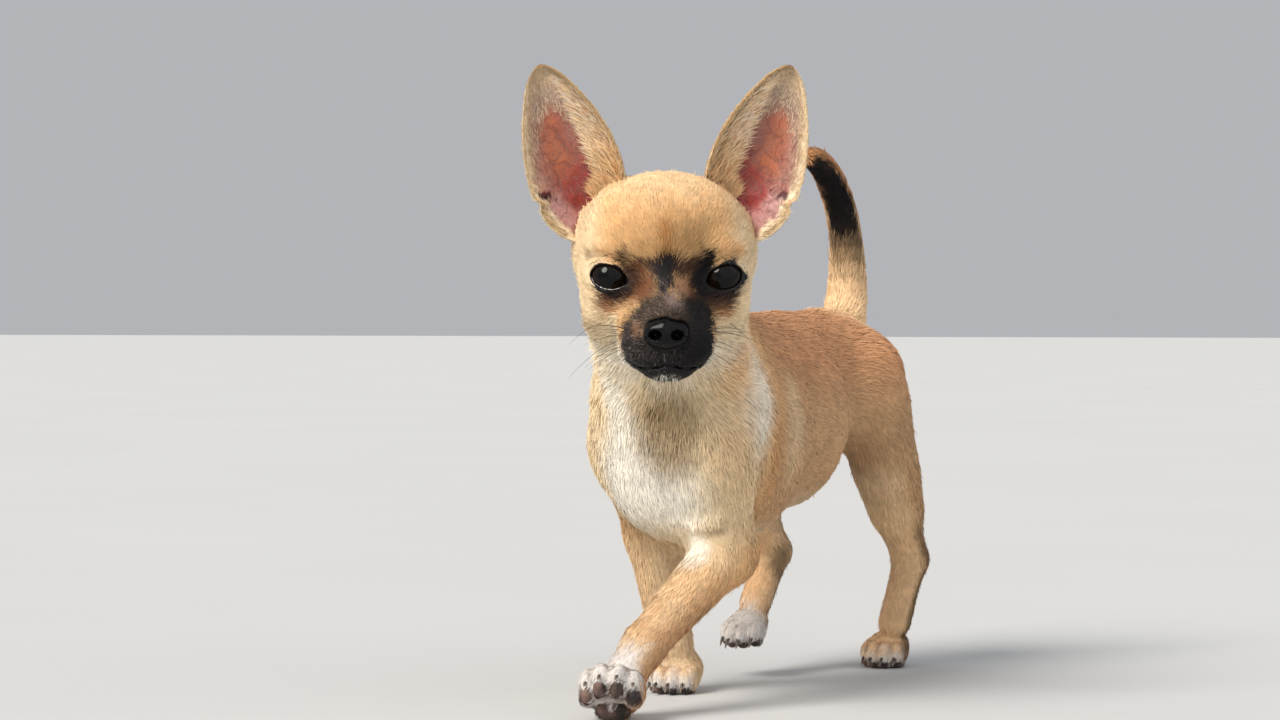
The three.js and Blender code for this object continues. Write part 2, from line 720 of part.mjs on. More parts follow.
const group = new THREE.Group();
group.name = 'chihuahua_puppy';
for (const part of Object.values(built)) {
  const material = new THREE.MeshStandardMaterial({
    color: part.colour,
    roughness: part.roughness,
    metalness: 0,
  });
  const mesh = new THREE.Mesh(geometryOf(part.solid), material);
  mesh.name = part.name;
  group.add(mesh);
}

const box = new THREE.Box3().setFromObject(group);
const middle = box.getCenter(new THREE.Vector3());
for (const mesh of group.children) mesh.geometry.translate(-middle.x, -middle.y, -box.min.z);

export default group;
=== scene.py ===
# A smooth-coated chihuahua puppy at a trot, as a still life-size model.
# Shapes are worked out in millimetres in the puppy's own frame: +Z up, facing -Y, +X its left.
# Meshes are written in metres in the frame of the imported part.
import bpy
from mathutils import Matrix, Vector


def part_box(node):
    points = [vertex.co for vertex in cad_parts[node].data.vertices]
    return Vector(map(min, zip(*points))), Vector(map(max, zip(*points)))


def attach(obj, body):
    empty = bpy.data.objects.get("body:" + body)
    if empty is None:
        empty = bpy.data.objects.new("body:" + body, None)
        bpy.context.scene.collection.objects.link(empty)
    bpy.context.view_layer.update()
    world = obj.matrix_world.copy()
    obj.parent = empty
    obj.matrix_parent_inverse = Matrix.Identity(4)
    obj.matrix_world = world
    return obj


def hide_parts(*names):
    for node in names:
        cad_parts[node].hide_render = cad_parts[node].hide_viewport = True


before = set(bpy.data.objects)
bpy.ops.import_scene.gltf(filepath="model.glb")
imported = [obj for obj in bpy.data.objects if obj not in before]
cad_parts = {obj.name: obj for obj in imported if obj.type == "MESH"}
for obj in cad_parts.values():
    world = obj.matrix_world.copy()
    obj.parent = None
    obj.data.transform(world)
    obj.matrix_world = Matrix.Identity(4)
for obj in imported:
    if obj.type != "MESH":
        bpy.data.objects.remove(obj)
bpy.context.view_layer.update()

from types import SimpleNamespace

import bpy
import numpy as np
from mathutils import Matrix

SEED = 7
WAVES = 7

# Head, in its own frame: x to its left, y back, z up, origin between the eyes.
EYES_MIDDLE = (22.0, -46.8, 163.0)
HEAD_YAW = 31.0
HEAD_PITCH = -4.0
EYE_CENTRE = (20.2, 1.5, 0.0)
EYE_RADIUS = 8.2
EYE_TURN_OUT = 10.0
EYE_HALF_WIDTH = 6.9
EYE_HALF_HEIGHT_UP = 5.0
EYE_HALF_HEIGHT_DOWN = 4.6
EYE_SLANT = 0.13
LID_THICKNESS = 0.9
MOUTH_FRONT_Z = -31.4
MOUTH_CORNER_Y = -8.0
MOUTH_CORNER_Z = -28.6
NOSTRIL = (4.0, -34.1, -18.8)
NOSE_SHIFT = 0.8

# Ear edges of the left ear: base, two pulls and tip, in the head's frame.
EAR_TIP = (47.5, 24, 81)
EAR_INNER = ((15, 20, 31), (14, 18, 51), (33, 18, 72), EAR_TIP)
EAR_OUTER = ((30, 17, 12), (57, 13, 14), (56, 21, 68), EAR_TIP)
EAR_REACH = 0.9
EAR_ROUND_FROM = 0.82
EAR_CUP_DEPTH = 15.0
EAR_NOTCH = 0.035
EAR_NOTCH_AT = 0.335
EAR_NOTCH_WIDTH = 0.028
EAR_THICKNESS = 1.9

# The middle of the head, in its own frame, and the neck's ends.
HEAD_CORE = (0, 12, 2)
NECK_FOOT = (0.0, 2.0, 118.0)
NECK_HEAD_LOCAL = (0.0, 22.0, -6.0)

# Legs: the paw's turn, lift and size, how far back, up and to its left it is white, and joint centres.
LEGS = {
    "fore_left": SimpleNamespace(
        side=1, fore=True, turn=22, lift=38, size=1.25, white=(1.5, 18, 0.9),
        joints=np.array([(22, -12, 98), (20.5, 2, 59), (9, -40, 27), (3, -52, 10.5)])),
    "fore_right": SimpleNamespace(
        side=-1, fore=True, turn=2, lift=0, size=1.05, white=(-6.0, 1, 0.0),
        joints=np.array([(-21.0, 2, 98), (-25, 27, 64), (-22, 34, 22), (-19, 36, 8)])),
    "hind_left": SimpleNamespace(
        side=1, fore=False, turn=4, lift=0, size=1.0, white=(-7.0, 0, 0.0),
        joints=np.array([(15, 128, 124), (23, 139, 83.5), (25, 159, 46), (14, 160, 7.6)])),
    "hind_right": SimpleNamespace(
        side=-1, fore=False, turn=0, lift=-8, size=0.95, white=(3.0, 13, 0.0),
        joints=np.array([(-15.0, 124, 122), (-26, 98, 84), (-22, 123, 50), (-21, 98, 21)])),
}
TOES = ((-6.8, -4.6), (-2.5, -8.4), (2.5, -8.4), (6.8, -4.6))

# Tail: y, z and radius of points along its middle.
TAIL = ((138, 132, 12.0), (148, 156, 9.9), (148, 178, 8.2), (142, 195, 7.6), (132, 207, 7.0),
        (121, 214, 6.2), (112, 215, 5.0))

# How deep the coat is, from the outline down to the skin.
BODY_COAT = 1.7
LEG_COAT = 1.0
FACE_COAT = 0.7
PAW_COAT = 0.5

# The camera stands 30 degrees round to the puppy's left front, low down.
CAMERA_AT = (567.9, -1011.6, 146.0)
CAMERA_TURN = 30.0
CAMERA_PITCH = -0.6825
CAMERA_LENS = 85.0
CAMERA_SENSOR = 36.0
LAMPS_AIM = (10, 20, 120)


def tone(red, green, blue):
    """A colour given as it looks on a screen, 0 to 255, as linear light."""
    c = np.array([red, green, blue], np.float32) / 255
    return np.where(c <= 0.04045, c / 12.92, ((c + 0.055) / 1.055) ** 2.4).astype(np.float32)


SAND = tone(226, 180, 126)
PALE_SAND = tone(240, 210, 166)
STREAK = tone(178, 116, 58)
BROW_BROWN = tone(150, 114, 70)
CREAM = tone(248, 241, 226)
WARM_CREAM = tone(238, 214, 174)
FAWN = tone(208, 166, 124)
RED_FAWN = tone(204, 148, 106)
FLANK = tone(206, 164, 122)
GREY_FAWN = tone(160, 134, 98)
GREY_BROWN = tone(116, 90, 62)
DARK_BROWN = tone(58, 38, 27)
FOREARM = tone(226, 180, 132)
PAW_WHITE = tone(236, 229, 222)
PAD_BROWN = tone(92, 68, 62)
MASK = tone(24, 21, 22)
MASK_GREY = tone(34, 29, 30)
SILVER = tone(150, 138, 132)
BRIDGE = tone(136, 116, 108)
TAN_SPOT = tone(150, 112, 84)
TAN_DARK = tone(118, 80, 56)
RUST = tone(112, 68, 40)
RUST_PALE = tone(170, 108, 62)
TAIL_ORANGE = tone(208, 148, 96)
TAIL_PALE = tone(238, 202, 156)
EAR_TAN = tone(208, 176, 140)
EAR_MAUVE = tone(164, 134, 124)
EAR_ORANGE = tone(184, 108, 76)
EAR_BROWN = tone(168, 110, 92)
EAR_RED = tone(160, 66, 62)
EAR_DEEP = tone(146, 30, 46)
EAR_PINK = tone(200, 150, 146)
EAR_FRINGE = tone(246, 216, 168)
EAR_RIM = tone(240, 220, 186)


# Small helpers

def turned(yaw, pitch):
    """A frame's left, back and up axes as columns. Yaw turns the nose left, pitch lifts it."""
    y, p = np.radians([yaw, pitch])
    about_z = np.array([[np.cos(y), -np.sin(y), 0], [np.sin(y), np.cos(y), 0], [0, 0, 1]])
    about_x = np.array([[1, 0, 0], [0, np.cos(p), np.sin(p)], [0, -np.sin(p), np.cos(p)]])
    return about_z @ about_x


HEAD_AXES = turned(HEAD_YAW, HEAD_PITCH)
GAZE_AXES = turned(EYE_TURN_OUT, 2)


def to_head(p):
    return (p - np.asarray(EYES_MIDDLE, p.dtype)) @ HEAD_AXES.astype(p.dtype)


def from_head(q):
    return np.asarray(q, float) @ HEAD_AXES.T + np.array(EYES_MIDDLE)


def mirrored(q):
    m = q.copy()
    m[..., 0] = np.abs(m[..., 0])
    return m


def unit(v):
    return v / np.maximum(np.linalg.norm(v, axis=-1, keepdims=True), 1e-9)


def apart(p, centre):
    """How far each point lies from a centre."""
    return np.linalg.norm(p - np.asarray(centre, p.dtype), axis=-1)


def ramp(x, low, high):
    """0 below low, 1 above high and smooth between. Low may be the larger."""
    t = np.clip((x - low) / (high - low), 0, 1)
    return t * t * (3 - 2 * t)


def mix(a, b, w):
    """From colour a to colour b by a weight for each point."""
    return a + (b - a) * np.asarray(w)[..., None]


def waves(p, size, seed):
    """A smooth random value from -1 to 1 that changes over about this size."""
    rng = np.random.default_rng(seed)
    total = np.zeros(len(p), np.float32)
    for _ in range(WAVES):
        k = unit(rng.normal(size=3)) * rng.uniform(0.6, 1.5) * 2 * np.pi / size
        total += np.sin(p @ k.astype(np.float32) + rng.uniform(0, 2 * np.pi))
    return total / np.sqrt(WAVES) / 1.2


# Rounded forms: each gives the distance to its surface, negative inside

def egg(p, centre, radii):
    radii = np.asarray(radii, p.dtype)
    a = (p - np.asarray(centre, p.dtype)) / radii
    k0 = np.sqrt((a * a).sum(-1))
    b = a / radii
    k1 = np.sqrt((b * b).sum(-1))
    return k0 * (k0 - 1) / np.maximum(k1, 1e-6)


def bone(p, a, b, ra, rb):
    a = np.asarray(a, p.dtype)
    ba = np.asarray(b, p.dtype) - a
    l2 = float(ba @ ba)
    rr = ra - rb
    a2 = l2 - rr * rr
    pa = p - a
    y = pa @ ba
    z = y - l2
    x = pa * l2 - y[..., None] * ba
    x2 = (x * x).sum(-1)
    y2 = y * y * l2
    z2 = z * z * l2
    k = np.sign(rr) * rr * rr * x2
    end = np.sqrt(x2 + z2) / l2 - rb
    start = np.sqrt(x2 + y2) / l2 - ra
    side = (np.sqrt(np.maximum(x2 * a2 / l2, 0)) + y * rr) / l2 - ra
    return np.where(np.sign(z) * a2 * z2 > k, end, np.where(np.sign(y) * a2 * y2 < k, start, side))


def join(a, b, soft):
    h = np.clip(0.5 + 0.5 * (b - a) / soft, 0, 1)
    return b + (a - b) * h - soft * h * (1 - h)


def carve(a, b, soft):
    """a without b."""
    return -join(-a, b, soft)


def join_near(d, p, centre, reach, form, soft):
    """Joins a form to d, worked out only where it can reach."""
    near = apart(p, centre) < reach
    if near.any():
        d[near] = join(d[near], form(p[near]), soft)
    return d


# Head

def skull(q, m):
    d = egg(q, (0, 25, 9), (35.5, 32, 30))
    d = join(d, egg(q, (0, 8, 18), (27, 20, 19.5)), 8)
    d = join(d, egg(m, (17.5, 2, 9.5), (12, 9, 7)), 7)
    d = join(d, bone(q, (0, 2, 6), (0, -6, -8), 10, 8.6), 8)
    d = join(d, egg(m, (20, 10, -9), (11.5, 17, 13)), 8)
    return join(d, egg(m, np.add(EYE_CENTRE, (-0.5, 2.5, -0.5)), (11.2, 10.5, 9.6)), 4)


def muzzle(q, m):
    d = bone(q, (0, -2, -13), (0, -21, -19), 15.5, 11)
    d = join(d, bone(q, (0, -4, -6), (0, -27, -14.2), 8, 6.5), 5)
    d = join(d, egg(m, (8.4, -18, -23.4), (8.6, 12, 8)), 4)
    return join(d, egg(m, (9.8, -7, -18), (8.6, 12, 10.5)), 6)


def lower_jaw(q, m):
    d = bone(q, (0, 6, -23), (0, -16, -27.3), 13, 8.6)
    d = join(d, bone(m, (11.5, -3, -26.5), (5, -19, -29.6), 6.5, 5.6), 4)
    return join(d, egg(q, (0, -19.6, -30.2), (9.6, 7.5, 5.6)), 4)


def mouth_z(q):
    """Height of the line where the lips meet: highest under the nose, and up again at the corners."""
    t = np.clip((q[..., 1] - MOUTH_CORNER_Y) / -14, 0, 1)
    return MOUTH_CORNER_Z + (MOUTH_FRONT_Z - MOUTH_CORNER_Z) * t + 1.3 * np.exp(-(q[..., 0] / 3.5) ** 2)


def nose_form(q):
    q = q + np.array([NOSE_SHIFT, 0, 0], q.dtype)
    m = mirrored(q)
    d = egg(q, (0, -29.9, -18.1), (5.5, 5.1, 5.8))
    d = join(d, egg(m, (3.9, -29.2, -18.4), (4.3, 4.8, 4.6)), 1.5)
    d = carve(d, egg(m, NOSTRIL, (2.4, 4.6, 1.95)), 0.7)
    d = carve(d, bone(m, (5.2, -34.0, -19.6), (8.8, -30.2, -20.6), 1.1, 0.5), 0.5)
    return carve(d, bone(q, (0, -35.7, -19.5), (0, -34.0, -25), 0.55, 0.7), 0.5)


def opening_across(m):
    """How far a point lies outside the lids' edge, across the line of sight, and how deep along it."""
    g = (m - np.asarray(EYE_CENTRE, m.dtype)) @ GAZE_AXES.astype(m.dtype)
    x = g[..., 0]
    z = g[..., 2] - EYE_SLANT * x
    half = np.where(z > 0, EYE_HALF_HEIGHT_UP, EYE_HALF_HEIGHT_DOWN)
    round_part = (np.sqrt((x / EYE_HALF_WIDTH) ** 2 + (z / half) ** 2) - 1) * 5
    beyond = -x - 5.6
    corner = np.hypot(np.where(beyond > 0, 0.55 * beyond, beyond), z + 0.35) - 1.15
    return join(round_part, corner + 0.25 * np.maximum(beyond, 0), 1.2), g[..., 1]


def head_form(q):
    m = mirrored(q)
    d = join(skull(q, m), muzzle(q, m), 6)
    return join(d, lower_jaw(q, m), 3)


# Trunk, neck, tail, legs

def trunk(p):
    d = egg(p, (0, 34, 104), (33, 52, 46))
    d = join(d, egg(p, (0, 0, 98), (31, 30, 36)), 12)
    d = join(d, egg(p, (0, 84, 109.5), (29, 36, 40)), 13)
    d = join(d, egg(p, (0, 123, 122), (28, 31, 30)), 11)
    d = join(d, egg(p, (0, 18, 138), (16, 28, 15)), 14)
    return join(d, bone(p, (0, 10, 132), (0, 125, 133), 19, 19), 8)


NECK_HEAD = from_head(NECK_HEAD_LOCAL)
NECK_AXIS = unit(NECK_HEAD - np.array(NECK_FOOT))


def smooth_curve(points, steps):
    """Points along a smooth curve through these, a few to each span."""
    points = [np.array(c, float) for c in points]
    ends = [2 * points[0] - points[1], *points, 2 * points[-1] - points[-2]]
    out = []
    for a, b, c, d in zip(ends, ends[1:], ends[2:], ends[3:]):
        for t in np.arange(steps) / steps:
            bend = (2 * a - 5 * b + 4 * c - d) * t * t + (3 * b - a - 3 * c + d) * t ** 3
            out.append(0.5 * (2 * b + (c - a) * t + bend))
    return np.array([*out, points[-1]])


TAIL_LINE = smooth_curve([(0, *c) for c in TAIL], 3)


def tail(p):
    d = None
    for a, b in zip(TAIL_LINE, TAIL_LINE[1:]):
        piece = bone(p, a[:3], b[:3], a[3], b[3])
        d = piece if d is None else join(d, piece, 1)
    return d


def toward(a, b, t):
    return np.asarray(a, float) * (1 - t) + np.asarray(b, float) * t


def fore_limb(p, leg):
    shoulder, elbow, wrist, paw = leg.joints
    d = bone(p, np.add(shoulder, (0, 12, 16)), shoulder, 14, 15)
    d = join(d, bone(p, shoulder, elbow, 15, 12.5), 8)
    d = join(d, bone(p, elbow, wrist, 12, 8.3), 6)
    return join(d, bone(p, wrist, toward(paw, wrist, 0.35), 8.3, 8), 4)


def hind_limb(p, leg):
    hip, stifle, hock, paw = leg.joints
    d = bone(p, hip, stifle, 21, 12)
    d = join(d, bone(p, stifle, hock, 12, 7.8), 8)
    haunch = (hip[0] + 2 * leg.side, 139.5, 112)
    d = join(d, bone(p, haunch, toward(stifle, hock, 0.38), 15.5, 12), 7)
    return join(d, bone(p, hock, toward(paw, hock, 0.3), 7.5, 7.2), 4)


def to_paw(p, leg):
    return (p - np.asarray(leg.joints[3], p.dtype)) @ turned(leg.turn, leg.lift).astype(p.dtype)


def from_paw(q, leg):
    return q @ turned(leg.turn, leg.lift).T + leg.joints[3]


def pad_form(q):
    """The pads in a paw's own frame: a large one behind, and one under the front of each toe."""
    d = egg(q, (0, 1.0, -6.0), (5.0, 4.3, 2.7))
    d = carve(d, egg(q, (0, -3.6, -7.6), (1.6, 2.4, 3)), 1.2)
    for x, y in TOES:
        d = np.minimum(d, egg(q, (x, y - 1.9, -5.3), (2.1, 3.1, 2.6)))
    return d


def paw_form(p, leg):
    q = to_paw(p, leg) / leg.size
    d = egg(q, (0, 1.5, 0.8), (8.6, 9.5, 7.2))
    for x, y in TOES:
        d = join(d, egg(q, (x, y, -1.8), (3.3, 6.6, 5.4)), 3.2)
        d = join(d, egg(q, (x, y - 0.5, -6.2), (2.7, 3.4, 1.9)), 0.6)
    return join(d, egg(q, (0, 1.5, -6), (5.6, 4.6, 2.4)), 0.8) * leg.size


def limb(p, leg):
    d = fore_limb(p, leg) if leg.fore else hind_limb(p, leg)
    return join_near(d, p, leg.joints[3], 24, lambda s: paw_form(s, leg), 3)


def leg_bound(leg):
    top, paw = leg.joints[0], leg.joints[3]
    return (toward(top, paw, 0.42), 88) if leg.fore else (toward(top, paw, 0.5), 96)


def outline(p):
    """The whole puppy out to the tips of its coat, without ears."""
    d = join(trunk(p), bone(p, NECK_FOOT, NECK_HEAD, 33, 27), 16)
    for leg in LEGS.values():
        d = join_near(d, p, *leg_bound(leg), lambda s, leg=leg: limb(s, leg), 10 if leg.fore else 7)
    d = join_near(d, p, (0, 132, 176), 72, tail, 8)
    return join_near(d, p, from_head(HEAD_CORE), 74, lambda s: head_form(to_head(s)), 8)


# Ears

def bezier(points, t):
    t = np.asarray(t)[..., None]
    a, b, c, d = (np.array(c, float) for c in points)
    s = 1 - t
    return s ** 3 * a + 3 * s * s * t * b + 3 * s * t * t * c + t ** 3 * d


def ear_sheet(u, v):
    """A point of the left ear's middle sheet: u from inner to outer edge, v from base to tip."""
    round_tip = np.cbrt(1 - np.clip((v - EAR_ROUND_FROM) / (1 - EAR_ROUND_FROM), 0, 1) ** 3)
    notch = EAR_NOTCH * np.exp(-((v - EAR_NOTCH_AT) / EAR_NOTCH_WIDTH) ** 2) * ramp(u, 0.8, 1.0)
    w = 0.5 + (u - 0.5) * round_tip - notch
    t = EAR_REACH * v
    flat = bezier(EAR_INNER, t) * (1 - w)[..., None] + bezier(EAR_OUTER, t) * w[..., None]
    cup = EAR_CUP_DEPTH * (1 - v) ** 0.6 * np.sin(np.pi * np.clip(u, 0, 1)) ** 0.8
    return flat + cup[..., None] * np.array([-0.12, 1, 0.05])


def ear_slopes(u, v, e, top):
    """The steps across the ear and up it at each place, taken over 2 e and not past the top."""
    across = ear_sheet(np.minimum(u + e, 1), v) - ear_sheet(np.maximum(u - e, 0), v)
    return across, ear_sheet(u, np.minimum(v + e, top)) - ear_sheet(u, np.maximum(v - e, 0))


def ear_point(u, v, face):
    """A point of the ear's skin: face 1 inside the cup, -1 on its back. Also its normal."""
    normal = unit(np.cross(*ear_slopes(u, v, 1e-3, 0.9995)))
    rim = np.minimum(1, 0.35 + 5 * np.minimum(u, 1 - u)) * np.minimum(1, 0.3 + 6 * (1 - v))
    half = EAR_THICKNESS / 2 * rim
    if face > 0:
        half = half + ear_relief(u, v)
    return ear_sheet(u, v) + normal * (face * half)[..., None], normal * face


def ridge(u, v, start, end, width):
    """1 on a line across the ear, falling to 0 beside it and at its ends."""
    a, b = np.array(start), np.array(end)
    along = ((u - a[0]) * (b[0] - a[0]) + (v - a[1]) * (b[1] - a[1])) / ((b - a) @ (b - a))
    t = np.clip(along, 0, 1)
    off = np.hypot(u - (a[0] + t * (b[0] - a[0])), v - (a[1] + t * (b[1] - a[1])))
    return np.exp(-(off / width) ** 2) * np.sin(np.pi * np.clip(t, 0.02, 0.98)) ** 0.5


def pocket(u, v):
    """The small fold of skin on the outer edge, low down."""
    return ramp(u, 0.72, 0.86) * ramp(v, 0.06, 0.14) * ramp(v, 0.335, 0.315) * ramp(u, 1.0, 0.97)


def ear_relief(u, v):
    folds = 1.1 * ridge(u, v, (0.34, 0.0), (0.88, 0.42), 0.045)
    folds = folds + 0.9 * ridge(u, v, (0.52, 0.0), (0.9, 0.27), 0.04)
    folds = folds + 0.7 * ridge(u, v, (0.22, 0.06), (0.62, 0.52), 0.04)
    wrinkles = 0.12 * np.sin(60 * v + 8 * u) * ramp(v, 0.6, 0.4) * ramp(u, 0.2, 0.35) * ramp(u, 0.95, 0.8)
    return folds + wrinkles + 1.6 * pocket(u, v)


def on_side(points, side):
    """The left ear's or eye's points, or their mirror image, in the puppy's frame."""
    return from_head(points * np.array([side, 1, 1]))


# Skin

FAR = 9
BLOCKS_AT_ONCE = 4000


def coat_depth(p, q):
    """How far the skin lies under the outline."""
    head = ramp(apart(q, HEAD_CORE), 62, 42)
    face = FACE_COAT + (BODY_COAT - FACE_COAT) * ramp(q[..., 1], 0, 40)
    face = face - 0.25 * ramp(q[..., 1], -8, -18)
    body = LEG_COAT + (BODY_COAT - LEG_COAT) * ramp(p[..., 2], 45, 75)
    body = PAW_COAT + (body - PAW_COAT) * ramp(p[..., 2], 12, 32)
    return body + (face - body) * head


ELBOW_CREASE = ((15, -16.5, 65.5), (28, -13.6, 68.4))
ELBOW_FOLD = ((13, -19.5, 70), (27, -16.6, 72.4))
EAR_ROOTS = [ear_sheet(np.array(u), np.array(0.05)) + (0, 1.0, 0) for u in (0.2, 0.4, 0.6, 0.8)]
EAR_ROOT_RADIUS = 3.6


def head_details(d, q):
    """Lids, folds, lips, the bed of the nose and the ears' roots, worked into the head's skin."""
    m = mirrored(q)
    for root in EAR_ROOTS:
        d = join(d, egg(m, root, (EAR_ROOT_RADIUS,) * 3), 5)
    across, deep = opening_across(m)
    front = ramp(deep, 2, -2)
    shell = egg(m, EYE_CENTRE, (EYE_RADIUS + LID_THICKNESS,) * 3)
    d = join(d, shell, 1.6)
    g = m - np.asarray(EYE_CENTRE, m.dtype)
    upper = ramp(g[..., 2], 0.5, 3)
    lower = ramp(g[..., 2], -0.5, -3)
    d = d + 0.55 * front * upper * np.exp(-((across - 2.7) / 0.7) ** 2)
    d = d + 0.4 * front * lower * np.exp(-((across - 3.1) / 0.8) ** 2)
    d = carve(d, np.maximum(across, deep + 2), 0.5)
    line = np.abs(q[..., 2] - mouth_z(q)) - 0.35
    lips = np.maximum(np.maximum(line, -(d + 2.0)), q[..., 1] - MOUTH_CORNER_Y)
    d = carve(d, lips, 0.9)
    d = carve(d, nose_bed(q), 0.8)
    return carve(d, bone(q, (0, -34.2, -24), (0, -30.5, -30), 0.3, 0.3), 0.7)


def nose_bed(q):
    """The space just round the nose, so that the nose stands clear of the hair."""
    q = q + np.array([NOSE_SHIFT, 0, 0], q.dtype)
    m = mirrored(q)
    d = egg(q, (0, -30.6, -18.1), (5.5, 5.2, 5.8))
    return join(d, egg(m, (4.1, -30.0, -17.8), (4.3, 4.9, 4.4)), 1.5)


def fold(p, line, width):
    """1 on a line from point to point, falling away over this width."""
    return np.exp(-((np.maximum(bone(p, *line, 0.1, 0.1), 0) / width) ** 2))


def skin_form(p):
    q = to_head(p)
    d = outline(p) + coat_depth(p, q)
    d = d + 3.2 * fold(p, ELBOW_CREASE, 2.3) - 1.5 * fold(p, ELBOW_FOLD, 2.8)
    near = apart(q, HEAD_CORE) < 60
    if near.any():
        d[near] = head_details(d[near], q[near])
    return d


def slope(form, p, step=0.15):
    """The direction straight out of a form."""
    out = np.zeros_like(p)
    for k in ((1, 1, 1), (1, -1, -1), (-1, 1, -1), (-1, -1, 1)):
        k = np.array(k, p.dtype)
        out += k * form(p + k * step)[..., None]
    return unit(out)


def nets(form, low, high, cell, coarse):
    """A form's closed surface inside a box, as points and four-sided faces."""
    low = np.array(low, np.float32)
    values = sampled(form, low, high, cell, coarse)
    inside = values < 0
    last = np.array(values.shape) - 1
    corners = lattice(2, 2, 2)
    count = sum(inside[i:last[0] + i, j:last[1] + j, k:last[2] + k].astype(np.int8) for i, j, k in corners)
    cells = np.argwhere((count > 0) & (count < 8))
    ids = np.full(last, -1, np.int32)
    ids[tuple(cells.T)] = np.arange(len(cells))
    points = (cells + net_middles(values, cells, corners)) * cell + low
    return points, np.concatenate([net_faces(inside, ids, axis) for axis in range(3)])


def net_middles(values, cells, corners):
    """The middle of the places where the surface cuts each cell's edges, within that cell."""
    total = np.zeros((len(cells), 3))
    crossings = np.zeros(len(cells))
    for corner, axis in [(c, a) for c in corners for a in range(3) if not c[a]]:
        va = values[tuple((cells + corner).T)]
        vb = values[tuple((cells + corner + np.eye(3, dtype=int)[axis]).T)]
        cut = (va < 0) != (vb < 0)
        crossing = np.tile(corner.astype(float), (len(cells), 1))
        crossing[:, axis] += np.where(cut, va / np.where(cut, va - vb, 1), 0)
        total[cut] += crossing[cut]
        crossings[cut] += 1
    return total / crossings[:, None]


def net_faces(inside, ids, axis):
    """A face across every edge along one axis that the surface cuts, turned outward."""
    across = [(axis + 1) % 3, (axis + 2) % 3]
    edges = np.argwhere(np.diff(inside, axis=axis))
    last = np.array(inside.shape)[across] - 1
    edges = edges[((edges[:, across] > 0) & (edges[:, across] < last)).all(1)]
    quad = []
    for step in ((-1, -1), (0, -1), (0, 0), (-1, 0)):
        beside = edges.copy()
        beside[:, across] += step
        quad.append(ids[tuple(beside.T)])
    quad = np.stack(quad, 1)
    return np.where(inside[tuple(edges.T)][:, None], quad, quad[:, ::-1])


def lattice(*counts):
    """Every whole-numbered place in a box that starts at 0, one to a row."""
    return np.stack(np.meshgrid(*map(np.arange, counts), indexing="ij"), -1).reshape(-1, len(counts))


def sampled(form, low, high, cell, coarse):
    """A form's values over a box, worked out finely only near its surface."""
    block = cell * coarse
    blocks = np.ceil((np.array(high) - low) / block).astype(int)
    rough = form((lattice(*blocks) + 0.5).astype(np.float32) * block + low)
    values = np.sign(rough).reshape(blocks).astype(np.float32) * FAR
    for axis in range(3):
        values = np.repeat(values, coarse, axis)
    close = np.argwhere((np.abs(rough) < block * 1.15 + 1).reshape(blocks))
    inner = lattice(coarse, coarse, coarse)
    for start in range(0, len(close), BLOCKS_AT_ONCE):
        index = (close[start:start + BLOCKS_AT_ONCE, None] * coarse + inner).reshape(-1, 3)
        values[tuple(index.T)] = form(index.astype(np.float32) * cell + low)
    return values


def split_faces(points, faces, chosen):
    """Halves every edge of the chosen triangles, and closes up the triangles beside them."""
    edges = np.sort(faces[:, [[0, 1], [1, 2], [2, 0]]].reshape(-1, 2), axis=1)
    key = edges[:, 0].astype(np.int64) * len(points) + edges[:, 1]
    known, index = np.unique(key, return_inverse=True)
    index = index.reshape(-1, 3)
    cut = np.zeros(len(known), bool)
    cut[index[chosen]] = True
    middle = np.full(len(known), -1)
    middle[cut] = len(points) + np.arange(cut.sum())
    ends = np.stack([known[cut] // len(points), known[cut] % len(points)], 1)
    points = np.concatenate([points, points[ends].mean(1)])
    mid = middle[index]
    count = (mid >= 0).sum(1)
    out = [faces[count == 0]]
    full, m = faces[count == 3], mid[count == 3]
    out += [np.stack(t, 1) for t in ((full[:, 0], m[:, 0], m[:, 2]), (m[:, 0], full[:, 1], m[:, 1]),
                                     (m[:, 2], m[:, 1], full[:, 2]), (m[:, 0], m[:, 1], m[:, 2]))]
    for k in range(3):
        one = (count == 1) & (mid[:, k] >= 0)
        a, b, c = (faces[one][:, (k + i) % 3] for i in range(3))
        h = mid[one][:, k]
        out += [np.stack((a, h, c), 1), np.stack((h, b, c), 1)]
        two = (count == 2) & (mid[:, k] < 0)
        a, b, c = (faces[two][:, (k + i) % 3] for i in range(3))
        bc, ca = mid[two][:, (k + 1) % 3], mid[two][:, (k + 2) % 3]
        out += [np.stack((a, b, bc), 1), np.stack((a, bc, ca), 1), np.stack((ca, bc, c), 1)]
    return points, np.concatenate(out)


def settled(form, p, rounds=2):
    """Moves points onto a form's surface."""
    p = p.astype(np.float32)
    for _ in range(rounds):
        p = p - slope(form, p) * np.clip(form(p), -0.6, 0.6)[..., None]
    return p


